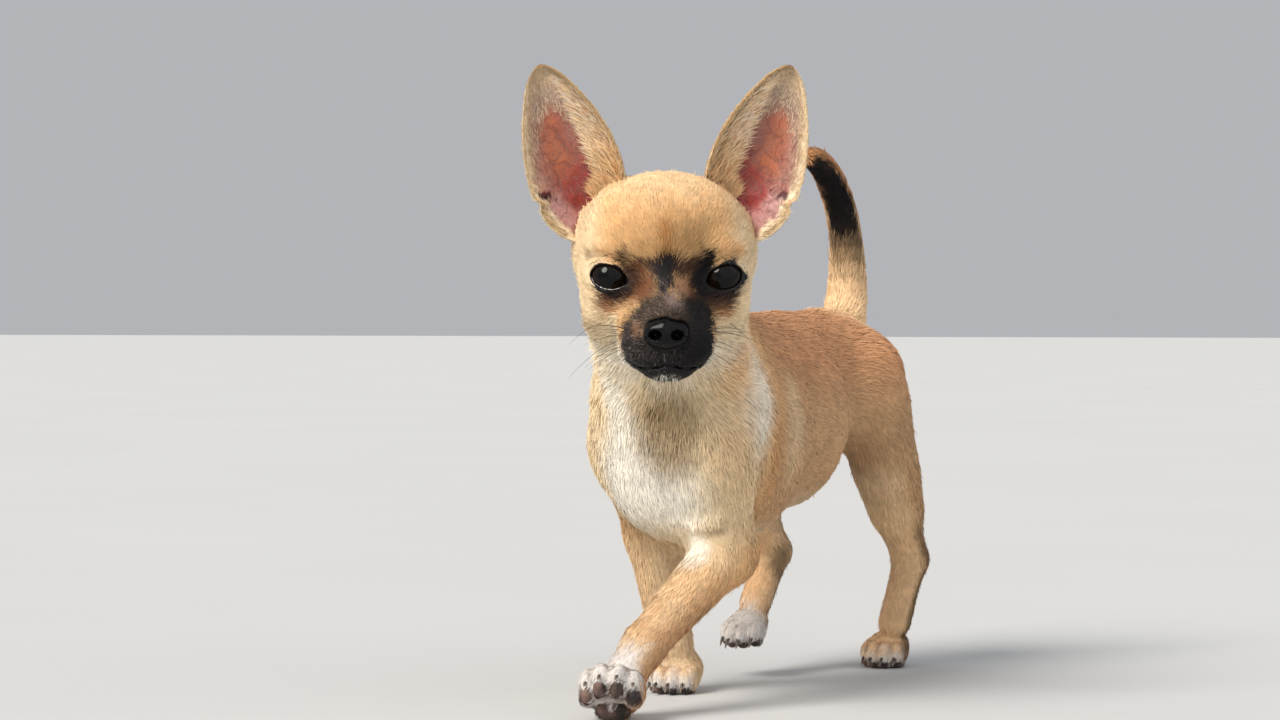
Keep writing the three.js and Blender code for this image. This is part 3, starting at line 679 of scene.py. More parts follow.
def skin_surface():
    cell = 1.25
    points, quads = nets(skin_form, (-42, -98, -2), (72, 178, 232), cell, 5)
    faces = np.concatenate([quads[:, [0, 1, 2]], quads[:, [0, 2, 3]]])
    for reach in (26, 12, 5):
        middle = points[faces].mean(1).astype(np.float32)
        q = to_head(middle)
        across, deep = opening_across(mirrored(q))
        eyes = (across < reach * 0.45) & (deep < 3) & (deep > -12)
        mouth = (np.abs(q[:, 2] - mouth_z(q)) < reach * 0.25) & (np.abs(q[:, 0]) < 20)
        mouth &= (q[:, 1] < MOUTH_CORNER_Y + 2) & (q[:, 1] > -34)
        face = (q[:, 1] < 2) & (reach > 20) & (np.abs(q[:, 0]) < 34) & (q[:, 2] > -42) & (q[:, 2] < 30)
        toes = np.zeros(len(middle), bool)
        for leg in LEGS.values():
            away = np.linalg.norm(middle - leg.joints[3].astype(np.float32), axis=-1)
            toes |= (away < 17) & (reach > 20)
        points, faces = split_faces(points, faces, eyes | mouth | face | toes)
        points = settled(skin_form, points, 1)
    points = settled(skin_form, points, 2)
    points[:, 2] = np.maximum(points[:, 2], 0.15)
    return points, faces


# Markings

def spot(q, centre, radii, soft=2.0):
    """1 inside a rounded patch, 0 outside it, soft at its edge."""
    return ramp(egg(q, centre, radii), soft, -soft)


def patches(c, q, spots):
    """Paints rounded patches in turn: each a colour, how much of it, then what spot takes."""
    for colour, amount, *shape in spots:
        c = mix(c, colour, spot(q, *shape) * amount)
    return c


def head_colour(q, ragged):
    """The head's markings in its own frame. Ragged shifts every edge a little, as hair does."""
    x, y, z = q[..., 0], q[..., 1], q[..., 2]
    m = mirrored(q)
    left = ramp(x, -4, 4)
    across, deep = opening_across(m)
    front = ramp(deep, 3, 0)
    edge = across + 0.35 * ragged
    r = q + ragged[..., None] * np.array([0.35, 0, 0.45], q.dtype)
    c = mix(SAND, PALE_SAND, ramp(z + ragged, 20, 36) * 0.7)
    c = mix(c, WARM_CREAM, ramp(np.abs(x) + 0.4 * ragged, 18, 29) * 0.9)
    c = mix(c, WARM_CREAM, ramp(z + ragged, -3, -13) * ramp(y, -16, -6))
    c = mix(c, CREAM, ramp(z + ragged, -16, -30) * 0.8)
    c = mix(c, FAWN, ramp(y + ragged, 26, 44) * ramp(z, -14, 4))
    # A darker streak down the middle of the forehead, partly the coat's own and partly painted shade in its
    # furrow; brown over the brows, partly the coat's own and partly painted shade, more on the left, the
    # shaded side.
    c = patches(c, r, (
        (STREAK, 0.8, (-0.3, -11, 13), (2.2, 8, 8), 3),
        (BROW_BROWN, 0.6, (7.3, -10, 12), (6, 9, 7), 5),
        (BROW_BROWN, 0.4, (-6, -10, 8), (5, 8, 3), 3),
    ))
    c = muzzle_colour(c, q, r, ragged, left)
    c = patches(c, r, (
        (DARK_BROWN, 1, (-0.7, -11, 2.8), (13.8, 8, 3.4), 1.5),
        (MASK, 1, (-1.0, -12, 1.4), (3.0, 8, 6.4), 1.5),
        (MASK_GREY, 1, (-0.9, -16, -4.6), (2.6, 8, 5.0), 1.4),
    ))
    # Rust and black run from the inner corners of the eyes and under them, more on the left, partly the
    # coat's own and partly painted shade, the left being the shaded side.
    under = ramp(z, 0, -4) * ramp(np.abs(x) - left * (4 + 0.5 * z), 26, 21)
    inner = ramp(m[..., 0], 16, 12.5) * ramp(z, 6, 2)
    c = patches(c, r, (
        (RUST_PALE, 0.8, (18.5, -6, -11.2), (4.6, 8, 2.6), 1.5),
        (RUST_PALE, 0.8, (-18.5, -5, -10.2), (4.6, 8, 2.4), 1.5),
    ))
    c = mix(c, RUST, front * ramp(edge, 8.4, 5.0) * np.maximum(under, inner) * 0.85)
    c = mix(c, DARK_BROWN, front * ramp(edge, 6.2, 3.4) * np.maximum(under, inner) * 0.95)
    c = mix(c, MASK, front * ramp(edge, 7.6, 4.6) * np.maximum(under, inner) * left * 0.95)
    c = patches(c, r, (
        (MASK, 0.9, (12.6, -10, -8), (3.4, 8, 7.5), 1.6),
        (MASK, 1, (13.1, -8.5, 3.7), (4.0, 7, 6.3), 1.6),
        (DARK_BROWN, 0.8, (18.0, -8, -8.4), (5.4, 8, 3.0), 1.6),
        (MASK, 0.6, (-17.2, -8, -6.2), (4.2, 8, 3.0), 1.6),
        (DARK_BROWN, 0.95, (-14.2, -8, 5.2), (2.9, 7, 4.2), 1.6),
        (SAND, 0.85, (22.0, -6, 8.8), (6.0, 8, 2.4), 1.2),
    ))
    reach = 3.2 - 1.5 * ramp(z, 1.5, 5)
    c = mix(c, MASK, front * ramp(edge, reach, reach - 1.3) * left * ramp(x, 27.5, 24))
    thick = 0.1 + 1.2 * ramp(z - 0.13 * np.abs(x), -0.5, -4.5)
    ring = front * ramp(across + 0.2 * ragged, thick + 0.5, thick) * ramp(x, -27.2, -25.8)
    return mix(c, MASK, ring)


def muzzle_colour(c, q, r, ragged, left):
    """The dark mask over the muzzle: greyer on top and to the right, black at the lips and to the left. The
    grey to the right and the black to the left are partly the coat's own and partly painted light and
    shade, the right being the lit side.
    """
    x, y, z = q[..., 0], q[..., 1], q[..., 2]
    wide = np.abs(x) + 0.6 * ragged
    under_eye = z + 0.8 * ragged + 1.2 * np.maximum(-7 - x, 0)
    mask = ramp(y + 1.4 * ragged, -8, -14) * ramp(wide, 18, 15.4) * ramp(under_eye, -2.0, -7.0)
    c = mix(c, MASK_GREY, mask * 0.95)
    c = mix(c, MASK, mask * ramp(z + 0.6 * ragged, -13, -22) * (0.8 + 0.2 * left))
    c = mix(c, MASK, mask * ramp(x + 0.5 * ragged, 3, 9) * 0.92)
    c = patches(c, r, (
        (BRIDGE, 0.85, (1.6, -22, -9.2), (3.2, 9, 4.6), 1.6),
        (TAN_SPOT, 1, (5.6, -16, -3.0), (4.4, 7, 3.4), 1.6),
        (TAN_DARK, 1, (-7.6, -15, -3.8), (5.2, 7, 4.0), 1.8),
        (TAN_SPOT, 0.7, (-9.8, -26, -16.8), (1.3, 4, 3.4), 1.1),
    ))
    lips = ramp(np.abs(z - mouth_z(q)), 2.6, 1.4) * ramp(y, MOUTH_CORNER_Y + 1, MOUTH_CORNER_Y - 1)
    c = mix(c, MASK, lips)
    return mix(c, MASK, spot(q, (0, -20, -31), (13.4, 12, 5.6), 1.8))


def chin_patch(q):
    """1 on the chin, where pale hairs grow among the black."""
    return spot(q, (-0.3, -23, -35.0), (4.6, 7, 2.3), 1.4)


def body_colour(p, n, ragged):
    x, y, z = p[..., 0], p[..., 1] + ragged, p[..., 2] + 0.6 * ragged
    m = mirrored(p)
    c = mix(FAWN, RED_FAWN, ramp(z, 108, 136) * ramp(y, 12, 40) * 0.8)
    c = mix(c, FLANK, ramp(z, 112, 92))
    c = mix(c, GREY_FAWN, ramp(y, 92, 126) * ramp(z, 124, 96) * 0.35)
    c = mix(c, SAND, ramp(y, 34, 12))
    c = patches(c, m, (
        (WARM_CREAM, 0.75, (30, -10, 92), (14, 20, 28), 12),
        (WARM_CREAM, 0.5, (33, 37, 108), (10, 7, 24), 6),
        (TAIL_ORANGE, 0.4, (32, 22, 92), (9, 3.5, 18), 4),
    ))
    c = mix(c, WARM_CREAM, ramp(y, 10, -8) * ramp(np.abs(x) + 0.5 * ragged, 36, 24))
    # White down the middle of the chest, up the throat and along the sides of the neck.
    c = mix(c, CREAM, spot(p, (-1, -28, 80), (25, 20, 31), 9))
    c = mix(c, CREAM, spot(p, (-4, -34, 112), (8, 10, 22), 5) * 0.9)
    c = mix(c, CREAM, spot(m, (36, 0, 119), (9, 12, 19), 11) * 0.8)
    # Grey-brown on the throat under the chin: partly the coat's own and partly painted shadow of the head.
    c = mix(c, GREY_FAWN, spot(p, (13, -31, 109), (12, 10, 19), 7) * 0.85)
    c = mix(c, WARM_CREAM, spot(p, (-26, -12, 110), (10, 18, 28), 8) * 0.75)
    return mix(c, WARM_CREAM, ramp(n[..., 2], -0.5, -0.85) * ramp(z, 92, 78) * 0.6)


def leg_colour(p, n, leg, ragged):
    knee, hock, paw = leg.joints[1:, 2]
    z = p[..., 2] + 0.7 * ragged
    outward = n[..., 0] * leg.side
    upper = SAND if leg.fore else mix(FLANK, GREY_FAWN, 0.3)
    c = mix(FOREARM, upper, ramp(z, knee - 26, knee + 10) * 0.9)
    c = mix(c, WARM_CREAM, ramp(outward, 0.1, -0.6) * 0.6)
    c = mix(c, WARM_CREAM, ramp(n[..., 1], -0.3, -0.8) * 0.5)
    if not leg.fore:
        below = ramp(z, knee + 6, hock + 2)
        outer = ramp(outward, 0.3, 0.8) * ramp(n[..., 1], -0.6, 0.0)
        # Below the knee the front is paler and brightened past the coat's colour, partly the coat's own
        # pale front and partly painted light; outside and behind it is darker, partly dark hair and partly
        # painted shade.
        c = mix(c, mix(FOREARM, PALE_SAND, 0.6) * 1.15, ramp(n[..., 1], 0.1, -0.5) * below * 0.9)
        c = mix(c, GREY_BROWN, np.maximum(outer, ramp(n[..., 1], 0.1, 0.7)) * below * 0.85)
    q = to_paw(p.astype(np.float32), leg) / leg.size
    back, high, less_left = leg.white
    white = ramp(q[..., 1] + less_left * q[..., 0] + 0.6 * ragged, back + 3.5, back - 3.5)
    c = mix(c, PAW_WHITE, white * ramp(z, paw + high + 4, paw + high - 4))
    return mix(c, PAD_BROWN, ramp(pad_form(q), 0.9, 0.2))


def tail_colour(p, n, ragged):
    line = TAIL_LINE[:, 1:3]
    nearest = ((p[..., None, 1:3] - line) ** 2).sum(-1).argmin(-1)
    along = nearest / (len(line) - 1)
    step = np.gradient(line, axis=0)
    up = unit(np.stack([-step[:, 1], step[:, 0]], 1))[nearest]
    top = 0.9 * (n[..., 1:3] * up).sum(-1) + 0.44 * n[..., 0] + 0.08 * ragged
    c = mix(TAIL_PALE, TAIL_ORANGE, ramp(along, 0.3, 0.7) * 0.9)
    c = mix(c, GREY_BROWN, ramp(top, 0.0, 0.7) * ramp(along, 0.14, 0.3) * ramp(along, 0.5, 0.36) * 0.8)
    return mix(c, MASK, ramp(top, 0.3, 0.62) * ramp(along, 0.27, 0.4) * ramp(along, 0.99, 0.93))


def up_neck(p):
    """How far each point lies up the neck from its foot."""
    return (p - np.array(NECK_FOOT, p.dtype)) @ NECK_AXIS.astype(p.dtype)


def out_tail(p):
    """How far each point lies out along the tail's root."""
    root, out = TAIL_LINE[0, :3], unit(TAIL_LINE[3, :3] - TAIL_LINE[0, :3])
    return (p - root.astype(p.dtype)) @ out.astype(p.dtype)


def from_leg(p, leg, top, middle, end):
    """How far each point lies from a leg's two lower bones, given their radii from the top down."""
    knee, hock, paw = leg.joints[1:]
    return np.minimum(bone(p, knee, hock, top, middle), bone(p, hock, paw, middle, end))


def region_of(p):
    """The part of the body that each point belongs to."""
    names = np.where(p[:, 1] < 62, "front", "rear").astype("<U12")
    names = np.char.add(names, np.where(p[:, 0] < 0, "_right", "_left"))
    nearest = np.full(len(p), np.inf)
    for name, leg in LEGS.items():
        away = np.where(p[:, 2] < leg.joints[1, 2] + 6, from_leg(p, leg, 9, 8, 11), np.inf)
        mine = (away < nearest) & (away < 9)
        nearest = np.where(mine, away, nearest)
        names[mine] = name
    p = p.astype(float)
    names[(out_tail(p) > 10) & (p[:, 1] > 100) & (p[:, 2] > 135)] = "tail"
    names[(up_neck(p) > 8) & (p[:, 1] < 50)] = "neck"
    names[up_neck(p) > 36] = "head"
    return names


def coat_colour(p, n):
    """The coat's colour at points of the skin: every part's markings, blended where they meet."""
    p = p.astype(np.float32)
    q = to_head(p)
    ragged = 2.2 * waves(p, 7, 11) + 1.4 * waves(p, 2.6, 12)
    c = body_colour(p, n, ragged)
    for leg in LEGS.values():
        elbow_z = leg.joints[1, 2]
        w = ramp(from_leg(p, leg, 12, 8.5, 17), 7, 2) * ramp(p[:, 2], elbow_z + 14, elbow_z - 4)
        if w.any():
            c = mix(c, leg_colour(p, n, leg, ragged), w)
    w = ramp(out_tail(p), 2, 16) * ramp(p[:, 1], 96, 104) * ramp(p[:, 2], 133, 142)
    c = mix(c, tail_colour(p, n, ragged), w)
    c = mix(c, head_colour(q, ragged), ramp(up_neck(p) + 0.8 * ragged, 28, 44))
    c = mix(c, GREY_BROWN, spot(q, (-3, 12.5, -47.4), (2.2, 4, 2.2), 1.2) * 0.8)
    c = mix(c, CREAM, spot(p, (15.5, -15, 61), (6.5, 8, 5.5), 3) * 0.8)
    c = mix(c, GREY_BROWN, spot(p, (-15, 117, 48), (6, 6, 8), 4) * 0.7)
    # Painted shade along the elbow's crease.
    c = mix(c, GREY_BROWN, ramp(bone(p, *ELBOW_CREASE, 0.1, 0.1), 3.2, 1.0) * 0.9)
    return c * (1 + 0.05 * waves(p, 16, 13))[:, None]


# Which way the hair lies

def strands():
    """Lines through the body, each with its reach and the way the hair lies along it."""
    lines = [
        ((0, 20, 118), (0, 145, 122), 40, (0, 1, -0.28)),
        ((0, -24, 112), (0, -22, 78), 24, (0, 0.25, -1)),
        ((-22, 0, 100), (-22, 30, 95), 18, (0, 0.8, -0.8)),
        ((22, 0, 100), (22, 30, 95), 18, (0, 0.8, -0.8)),
        (NECK_HEAD, NECK_FOOT, 26, NECK_FOOT - NECK_HEAD + (0, 8, 0)),
    ]
    for leg in LEGS.values():
        for a, b, reach in zip(leg.joints, leg.joints[1:], (17, 12, 10)):
            lines.append((a, b, reach, b - a))
    for a, b in zip(TAIL_LINE[2::3], TAIL_LINE[5::3]):
        lines.append((a[:3], b[:3], 11, b[:3] - a[:3]))
    return lines


def lie_of(p, q, n):
    total = np.zeros_like(p)
    for a, b, reach, way in strands():
        a, b = np.asarray(a, np.float32), np.asarray(b, np.float32)
        t = np.clip((p - a) @ (b - a) / ((b - a) @ (b - a)), 0, 1)
        away = np.linalg.norm(p - a - t[:, None] * (b - a), axis=-1)
        total += (1 / (0.02 + (away / reach) ** 4))[:, None] * unit(np.asarray(way, np.float32))
    total = unit(total)
    # On the head the hair runs back from the nose on every side.
    head_way = unit(q - np.array([0, -34, -15], np.float32)) @ HEAD_AXES.T.astype(np.float32)
    w = ramp(apart(q, (0, 10, 0)), 58, 46)
    total = total * (1 - w)[:, None] + head_way * w[:, None]
    sway = np.stack([waves(p, 22, seed) for seed in (21, 22, 23)], 1)
    wisps = np.stack([waves(p, 5, seed) for seed in (24, 25, 26)], 1)
    total = total + 0.14 * sway + 0.1 * wisps
    return unit(total - n * (total * n).sum(-1, keepdims=True))


def hair_of(p, q, region):
    """Length and width of each tuft, how far it stands up, and how many grow there."""
    length, lift, dense = (np.full(len(p), v, np.float32) for v in (5.8, 0.15, 1.0))
    head, neck, on_tail = (region == name for name in ("head", "neck", "tail"))
    m = mirrored(q)
    y, z = q[:, 1], q[:, 2]
    on_head = 2.4 + 1.7 * ramp(y, -20, -6) + 2.4 * ramp(y, 2, 30) + 1.0 * ramp(z, -10, -26) * ramp(y, -8, 4)
    across, deep = opening_across(m)
    on_head = on_head * (1 - 0.55 * (ramp(across, 4.5, 1.0) * ramp(deep, 3, 0)))
    chin = chin_patch(q)
    by_mouth = np.abs(z - mouth_z(q)) + 20 * (y > MOUTH_CORNER_Y)
    on_head = (on_head + 1.2 * chin) * (0.4 + 0.6 * ramp(by_mouth, 1.2, 4.5))
    by_ear = ramp(np.min([np.linalg.norm(m - root, axis=-1) for root in EAR_ROOTS], axis=0), 9.5, 5)
    ruff = spot(m, (25, 12, -28), (8, 12, 15), 6) * (1 + 0.8 * ramp(q[:, 0], 0, -10))
    length = np.where(head, on_head + 2.4 * by_ear + 1.5 * ruff, length)
    dense = np.where(head, 1.9 + 0.9 * ramp(y, 6, -8), dense)
    lift = np.where(head, 0.2 + 0.1 * chin + 0.26 * by_ear + 0.2 * ruff, lift)
    away = p - np.array(NECK_FOOT, np.float32)
    axis = NECK_AXIS.astype(np.float32)
    behind = ramp((away - (away @ axis)[:, None] * axis)[:, 1], -6, 12)
    length = np.where(neck, 7.2 - 1.6 * behind + 1.0 * ruff, length)
    lift = np.where(neck, 0.24 - 0.06 * behind + 0.2 * ruff, lift)
    for name, leg in LEGS.items():
        mine = region == name
        low = ramp(p[:, 2], leg.joints[2][2] + 18, leg.joints[3][2] + 4)
        length = np.where(mine, 4.6 - 2.0 * low, length)
        lift = np.where(mine, 0.22 + 0.06 * low, lift)
        on_pad = pad_form(to_paw(p, leg) / leg.size) < -0.1
        dense = np.where(mine, (1.4 + 0.7 * low) * ~on_pad, dense)
    off_crease = 1 - 0.6 * ramp(bone(p, *ELBOW_CREASE, 0.1, 0.1), 8, 3)
    length, lift = length * off_crease, lift * off_crease
    length = np.where(on_tail, 6.0, length)
    dense = np.where(on_tail, 1.3, dense)
    width = 0.12 + 0.034 * length
    on_eye = head & (across < 0.5) & (deep < 2)
    on_nose = nose_bed(q) < 0.2
    lips = (by_mouth < 1.2) & head
    return length, width, lift, dense * ~on_eye * ~on_nose * np.where(lips, 0.6, 1)


# Meshes in Blender

OFFSET = from_head(EYE_CENTRE) - 500 * np.sum(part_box("eye_left"), axis=0)


def metres(p):
    return ((np.asarray(p, float) - OFFSET) / 1000).astype(np.float32)


def mesh_object(name, points, faces):
    """A mesh from points in millimetres and faces with the same number of corners."""
    faces = np.asarray(faces, np.int32)
    return loose_mesh(name, points, faces.reshape(-1), np.full(len(faces), faces.shape[1], np.int32))


def loose_mesh(name, points, corners, counts):
    """A mesh from points in millimetres, the corners of all its faces in a row, and how many each has."""
    me = bpy.data.meshes.new(name)
    me.vertices.add(len(points))
    me.vertices.foreach_set("co", metres(points).reshape(-1))
    me.loops.add(len(corners))
    me.loops.foreach_set("vertex_index", corners.astype(np.int32))
    me.polygons.add(len(counts))
    me.polygons.foreach_set("loop_start", (np.cumsum(counts) - counts).astype(np.int32))
    me.polygons.foreach_set("use_smooth", np.full(len(counts), True))
    me.update(calc_edges=True)
    me.validate()
    obj = bpy.data.objects.new(name, me)
    bpy.context.scene.collection.objects.link(obj)
    return obj


def give(obj, name, values, kind="COLOR"):
    """Stores a number, or a colour or vector as kind says, for every point of a mesh."""
    values = np.asarray(values, np.float32)
    if values.ndim == 1:
        obj.data.attributes.new(name, "FLOAT", "POINT").data.foreach_set("value", values)
        return
    if kind == "COLOR":
        values = np.column_stack([values, np.ones(len(values), np.float32)])
    layer = obj.data.attributes.new(name, "FLOAT_" + kind, "POINT")
    layer.data.foreach_set(kind.lower(), values.reshape(-1))


def dress(obj, material, slot, *nodes):
    obj.data.materials.append(material)
    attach(obj, "root")
    if nodes:
        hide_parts(*nodes)
    return obj


# Materials

class Shader:
    """A few short words for building a material's nodes."""

    def __init__(self, name, **values):
        self.material = bpy.data.materials.new(name)
        self.material.use_nodes = True
        self.tree = self.material.node_tree
        self.surface = self.tree.nodes["Principled BSDF"]
        self.done(**values)

    def done(self, **inputs):
        """Feeds the surface, and gives the material."""
        self.feed(self.surface, inputs)
        return self.material

    def feed(self, node, inputs):
        """Gives a node's inputs, named or numbered, a value each or a link."""
        for key, value in inputs.items():
            socket = node.inputs[key.replace("_", " ") if isinstance(key, str) else key]
            if isinstance(value, bpy.types.NodeSocket):
                self.tree.links.new(value, socket)
            else:
                socket.default_value = value

    def node(self, kind, **inputs):
        n = self.tree.nodes.new("ShaderNode" + kind)
        self.feed(n, inputs)
        return n

    def stored(self, name, output="Fac"):
        n = self.node("Attribute")
        n.attribute_name = name
        return n.outputs[output]

    def noise(self, scale, detail=3.0):
        return self.node("TexNoise", Vector=self.place(), Scale=scale, Detail=detail).outputs["Fac"]

    def place(self):
        return self.node("TexCoord").outputs["Object"]

    def maths(self, operation, a, b=0.0):
        n = self.node("Math")
        n.operation = operation
        self.feed(n, {0: a, 1: b})
        return n.outputs[0]

    def range(self, value, low, high, to_low, to_high):
        ends = {"From_Min": low, "From_Max": high, "To_Min": to_low, "To_Max": to_high}
        return self.node("MapRange", Value=value, **ends).outputs[0]

    def blend(self, a, b, factor):
        n = self.node("Mix")
        n.data_type = "RGBA"
        self.feed(n, {0: factor, 6: a, 7: b})
        return n.outputs[2]

    def bump(self, height, distance, strength=1.0):
        return self.node("Bump", Height=height, Distance=distance, Strength=strength).outputs["Normal"]

    def shade(self, colour, amount):
        """The colour made lighter or darker by an amount that is 1 where it stays."""
        n = self.node("VectorMath")
        n.operation = "SCALE"
        self.feed(n, {0: colour, "Scale": amount})
        return n.outputs[0]


def coat_material():
    s = Shader("puppy coat", Roughness=0.62, Specular_IOR_Level=0.13, Sheen_Weight=0.02,
               Sheen_Roughness=0.5)
    tint = s.stored("tint")
    # Each tuft darker toward its root, as painted shade among the hairs, and a little lighter at its tip.
    amount = s.range(s.stored("along"), 0, 1, 0.88, 1.06)
    amount = s.maths("MULTIPLY", amount, s.range(tint, 0, 1, 0.85, 1.14))
    amount = s.maths("MULTIPLY", amount, s.range(s.noise(260), 0.3, 0.7, 0.9, 1.1))
    colour = s.shade(s.stored("coat", "Color"), amount)
    return s.done(Base_Color=colour, Roughness=s.range(tint, 0, 1, 0.52, 0.72))


def skin_material():
    s = Shader("puppy skin", Roughness=0.75, Specular_IOR_Level=0.25)
    fine = s.noise(900, 4.0)
    # The skin a little darker than the coat above it, and mottled: painted shade among the hairs.
    colour = s.shade(s.stored("coat", "Color"), s.range(fine, 0.3, 0.7, 0.7, 0.95))
    roughness = s.range(s.stored("wet"), 0, 1, 0.75, 0.3)
    return s.done(Base_Color=colour, Normal=s.bump(fine, 0.0004, 0.8), Roughness=roughness)


def ear_material():
    s = Shader("puppy ear", Specular_IOR_Level=0.35, Subsurface_Weight=0.18,
               Subsurface_Radius=(0.004, 0.0012, 0.0008), Subsurface_Scale=1.0)
    colour = s.stored("coat", "Color")
    blotch = s.noise(160, 4.0)
    fine = s.noise(1100, 4.0)
    bare = s.stored("bare")
    flush = s.maths("MULTIPLY", s.range(blotch, 0.5, 0.72, 0, 0.45), bare)
    colour = s.blend(colour, (0.30, 0.04, 0.035, 1), flush)
    vein = s.maths("ABSOLUTE", s.maths("SUBTRACT", s.noise(95, 2.5), 0.5))
    vein = s.maths("MULTIPLY", s.range(vein, 0.0, 0.03, 0.5, 0.0), bare)
    colour = s.blend(colour, (0.13, 0.015, 0.02, 1), vein)
    colour = s.shade(colour, s.range(fine, 0.3, 0.7, 0.86, 1.08))
    roughness = s.range(blotch, 0.3, 0.7, 0.42, 0.62)
    return s.done(Base_Color=colour, Roughness=roughness, Normal=s.bump(fine, 0.0003, 0.6))


def leather_material(name, dark, light, cell, roughness):
    """Bare skin of the nose and lids: small pebbles with fine creases between them."""
    s = Shader(name, Specular_IOR_Level=0.05, Coat_Weight=0.28, Coat_Roughness=0.12, Coat_IOR=1.4)
    cells = s.node("TexVoronoi", Vector=s.place(), Scale=1 / cell)
    cells.feature = "DISTANCE_TO_EDGE"
    pebble = s.range(cells.outputs["Distance"], 0, 0.18, 0, 1)
    colour = s.blend((*dark, 1), (*light, 1), s.range(s.noise(400), 0.35, 0.7, 0, 1))
    gloss = s.range(pebble, 0, 1, roughness + 0.2, roughness)
    return s.done(Base_Color=colour, Roughness=gloss, Normal=s.bump(pebble, cell * 0.22, 0.7))


def eye_material():
    s = Shader("puppy eye", Roughness=0.4, Specular_IOR_Level=0.02, Coat_Weight=0.65,
               Coat_Roughness=0.04, Coat_IOR=1.34)
    spokes = s.node("TexNoise", Vector=s.stored("spokes", "Vector"), Scale=1.0, Detail=3.0).outputs["Fac"]
    rings = s.node("ValToRGB", Fac=s.stored("ring"))
    stops = rings.color_ramp.elements
    stops[0].color = (0.0012, 0.001, 0.001, 1)
    stops[1].color = (0.32, 0.25, 0.22, 1)
    for at, colour in ((0.38, (0.0012, 0.001, 0.001)), (0.44, (0.005, 0.0026, 0.0014)),
                       (0.70, (0.007, 0.0036, 0.002)), (0.80, (0.002, 0.0012, 0.001)),
                       (0.93, (0.006, 0.004, 0.003))):
        stops.new(at).color = (*colour, 1)
    return s.done(Base_Color=s.shade(rings.outputs["Color"], s.range(spokes, 0.3, 0.7, 0.55, 1.5)))


def plain_material(name, colour, roughness, **values):
    s = Shader(name, Roughness=roughness, **values)
    return s.done(Base_Color=s.shade(colour, s.range(s.noise(700), 0.3, 0.7, 0.85, 1.15)))


def claw_material():
    s = Shader("claw horn", Roughness=0.35, Specular_IOR_Level=0.5)
    along = s.range(s.stored("along"), 0.55, 1, 0, 1)
    colour = s.blend((0.05, 0.036, 0.028, 1), (0.24, 0.18, 0.13, 1), along)
    return s.done(Base_Color=s.shade(colour, s.range(s.noise(1500, 2.0), 0.3, 0.7, 0.75, 1.25)))


def floor_material():
    s = Shader("studio floor", Roughness=0.85, Specular_IOR_Level=0.2)
    return s.done(Base_Color=s.shade((0.56, 0.56, 0.55), s.range(s.noise(3), 0.3, 0.7, 0.985, 1.015)))


# Tufts

PATCH = 0.003
CHARTS = np.array([3, 2])
FULL_AT = 0.55
SIDES = np.array([[1, 0, 0], [-1, 0, 0], [0, 1, 0], [0, -1, 0], [0, 0, 1], [0, 0, -1]], float)


def unwrapped(p, n):
    """Each root's place on an unwrap of the skin: six views of its own shape, side by side."""
    chart = (n @ SIDES.T).argmax(1)
    out = np.zeros((len(p), 2))
    low, high = p.min(0), p.max(0)
    scale = 1 / (high - low).max()
    for k in range(6):
        mine = chart == k
        flat = np.delete((p[mine] - low) * scale, k // 2, axis=1)
        out[mine] = (flat * 0.94 + 0.03) / CHARTS + np.array([k % 3, k // 3]) / CHARTS
    return out


def tufts(name, roots, normals, lie, length, width, lift, colour, rng, follow=None):
    """One mesh of thin tapered tufts. Each is a root edge, a middle edge and a tip."""
    count = len(roots)
    side = unit(np.cross(normals, lie))
    lie = unit(lie + side * rng.normal(0, 0.16, count)[:, None])
    side = unit(np.cross(normals, lie))
    length = length * rng.uniform(0.7, 1.25, count)
    stray = np.where(rng.uniform(0, 1, count) < 0.05, 1.9, 1)
    lift = np.clip(lift * stray * rng.normal(1, 0.35, count), 0.04, 0.9)
    roll = rng.normal(0, 0.35, count)[:, None]
    across = side * np.cos(roll) + normals * np.sin(roll)
    spots = []
    for t in (0.0, FULL_AT, 1.0):
        height = length * lift * t * (1 - 0.5 * t) - 0.25 * (1 - t)
        spot_at = roots + lie * (length * t)[:, None] + normals * height[:, None]
        if follow is not None and t > 0:
            off = follow(spot_at.astype(np.float32)) - height
            spot_at = spot_at - normals * np.clip(off, -2.5, 2.5)[:, None]
        spots.append(spot_at)
    half = (width / 2)[:, None]
    bend = side * (rng.normal(0, 0.09, count) * length)[:, None]
    points = np.stack([
        spots[0] - across * half * 0.75, spots[0] + across * half * 0.75,
        spots[1] - across * half, spots[1] + across * half,
        spots[2] + bend], 1)
    base = np.arange(count, dtype=np.int32)[:, None] * 5
    corners = (base + np.array([0, 2, 3, 1, 2, 4, 3], np.int32)).reshape(-1)
    counts = np.tile(np.array([4, 3], np.int32), count)
    points[..., 2] = np.maximum(points[..., 2], 0.1)
    obj = loose_mesh(name, points.reshape(-1, 3), corners, counts)
    tuft_layers(obj, points, corners, roots, normals, colour, rng)
    return obj


def tuft_layers(obj, points, corners, roots, normals, colour, rng):
    """Stores the tufts' shading, colour, the way along each, its tint and its place on the unwrap."""
    count = len(roots)
    own = unit(np.cross(points[:, 3] - points[:, 0], points[:, 2] - points[:, 1]))
    own *= np.sign((own * normals).sum(-1, keepdims=True))
    shading = unit(own * 0.3 + normals * 0.7)
    give(obj, "custom_normal", np.repeat(shading, 5, axis=0), "VECTOR")
    give(obj, "coat", np.repeat(colour, 5, axis=0))
    give(obj, "along", np.tile([0, 0, FULL_AT, FULL_AT, 1], count))
    give(obj, "tint", np.repeat(rng.uniform(0, 1, count), 5))
    place = np.repeat(unwrapped(roots, normals), 5, axis=0)
    patch = np.tile(np.array([[-0.5, 0], [0.5, 0], [-0.5, 0.5], [0.5, 0.5], [0, 1]]) * PATCH, (count, 1))
    layer = obj.data.uv_layers.new(name="OFBake")
    layer.data.foreach_set("uv", (place + patch)[corners].astype(np.float32).reshape(-1))


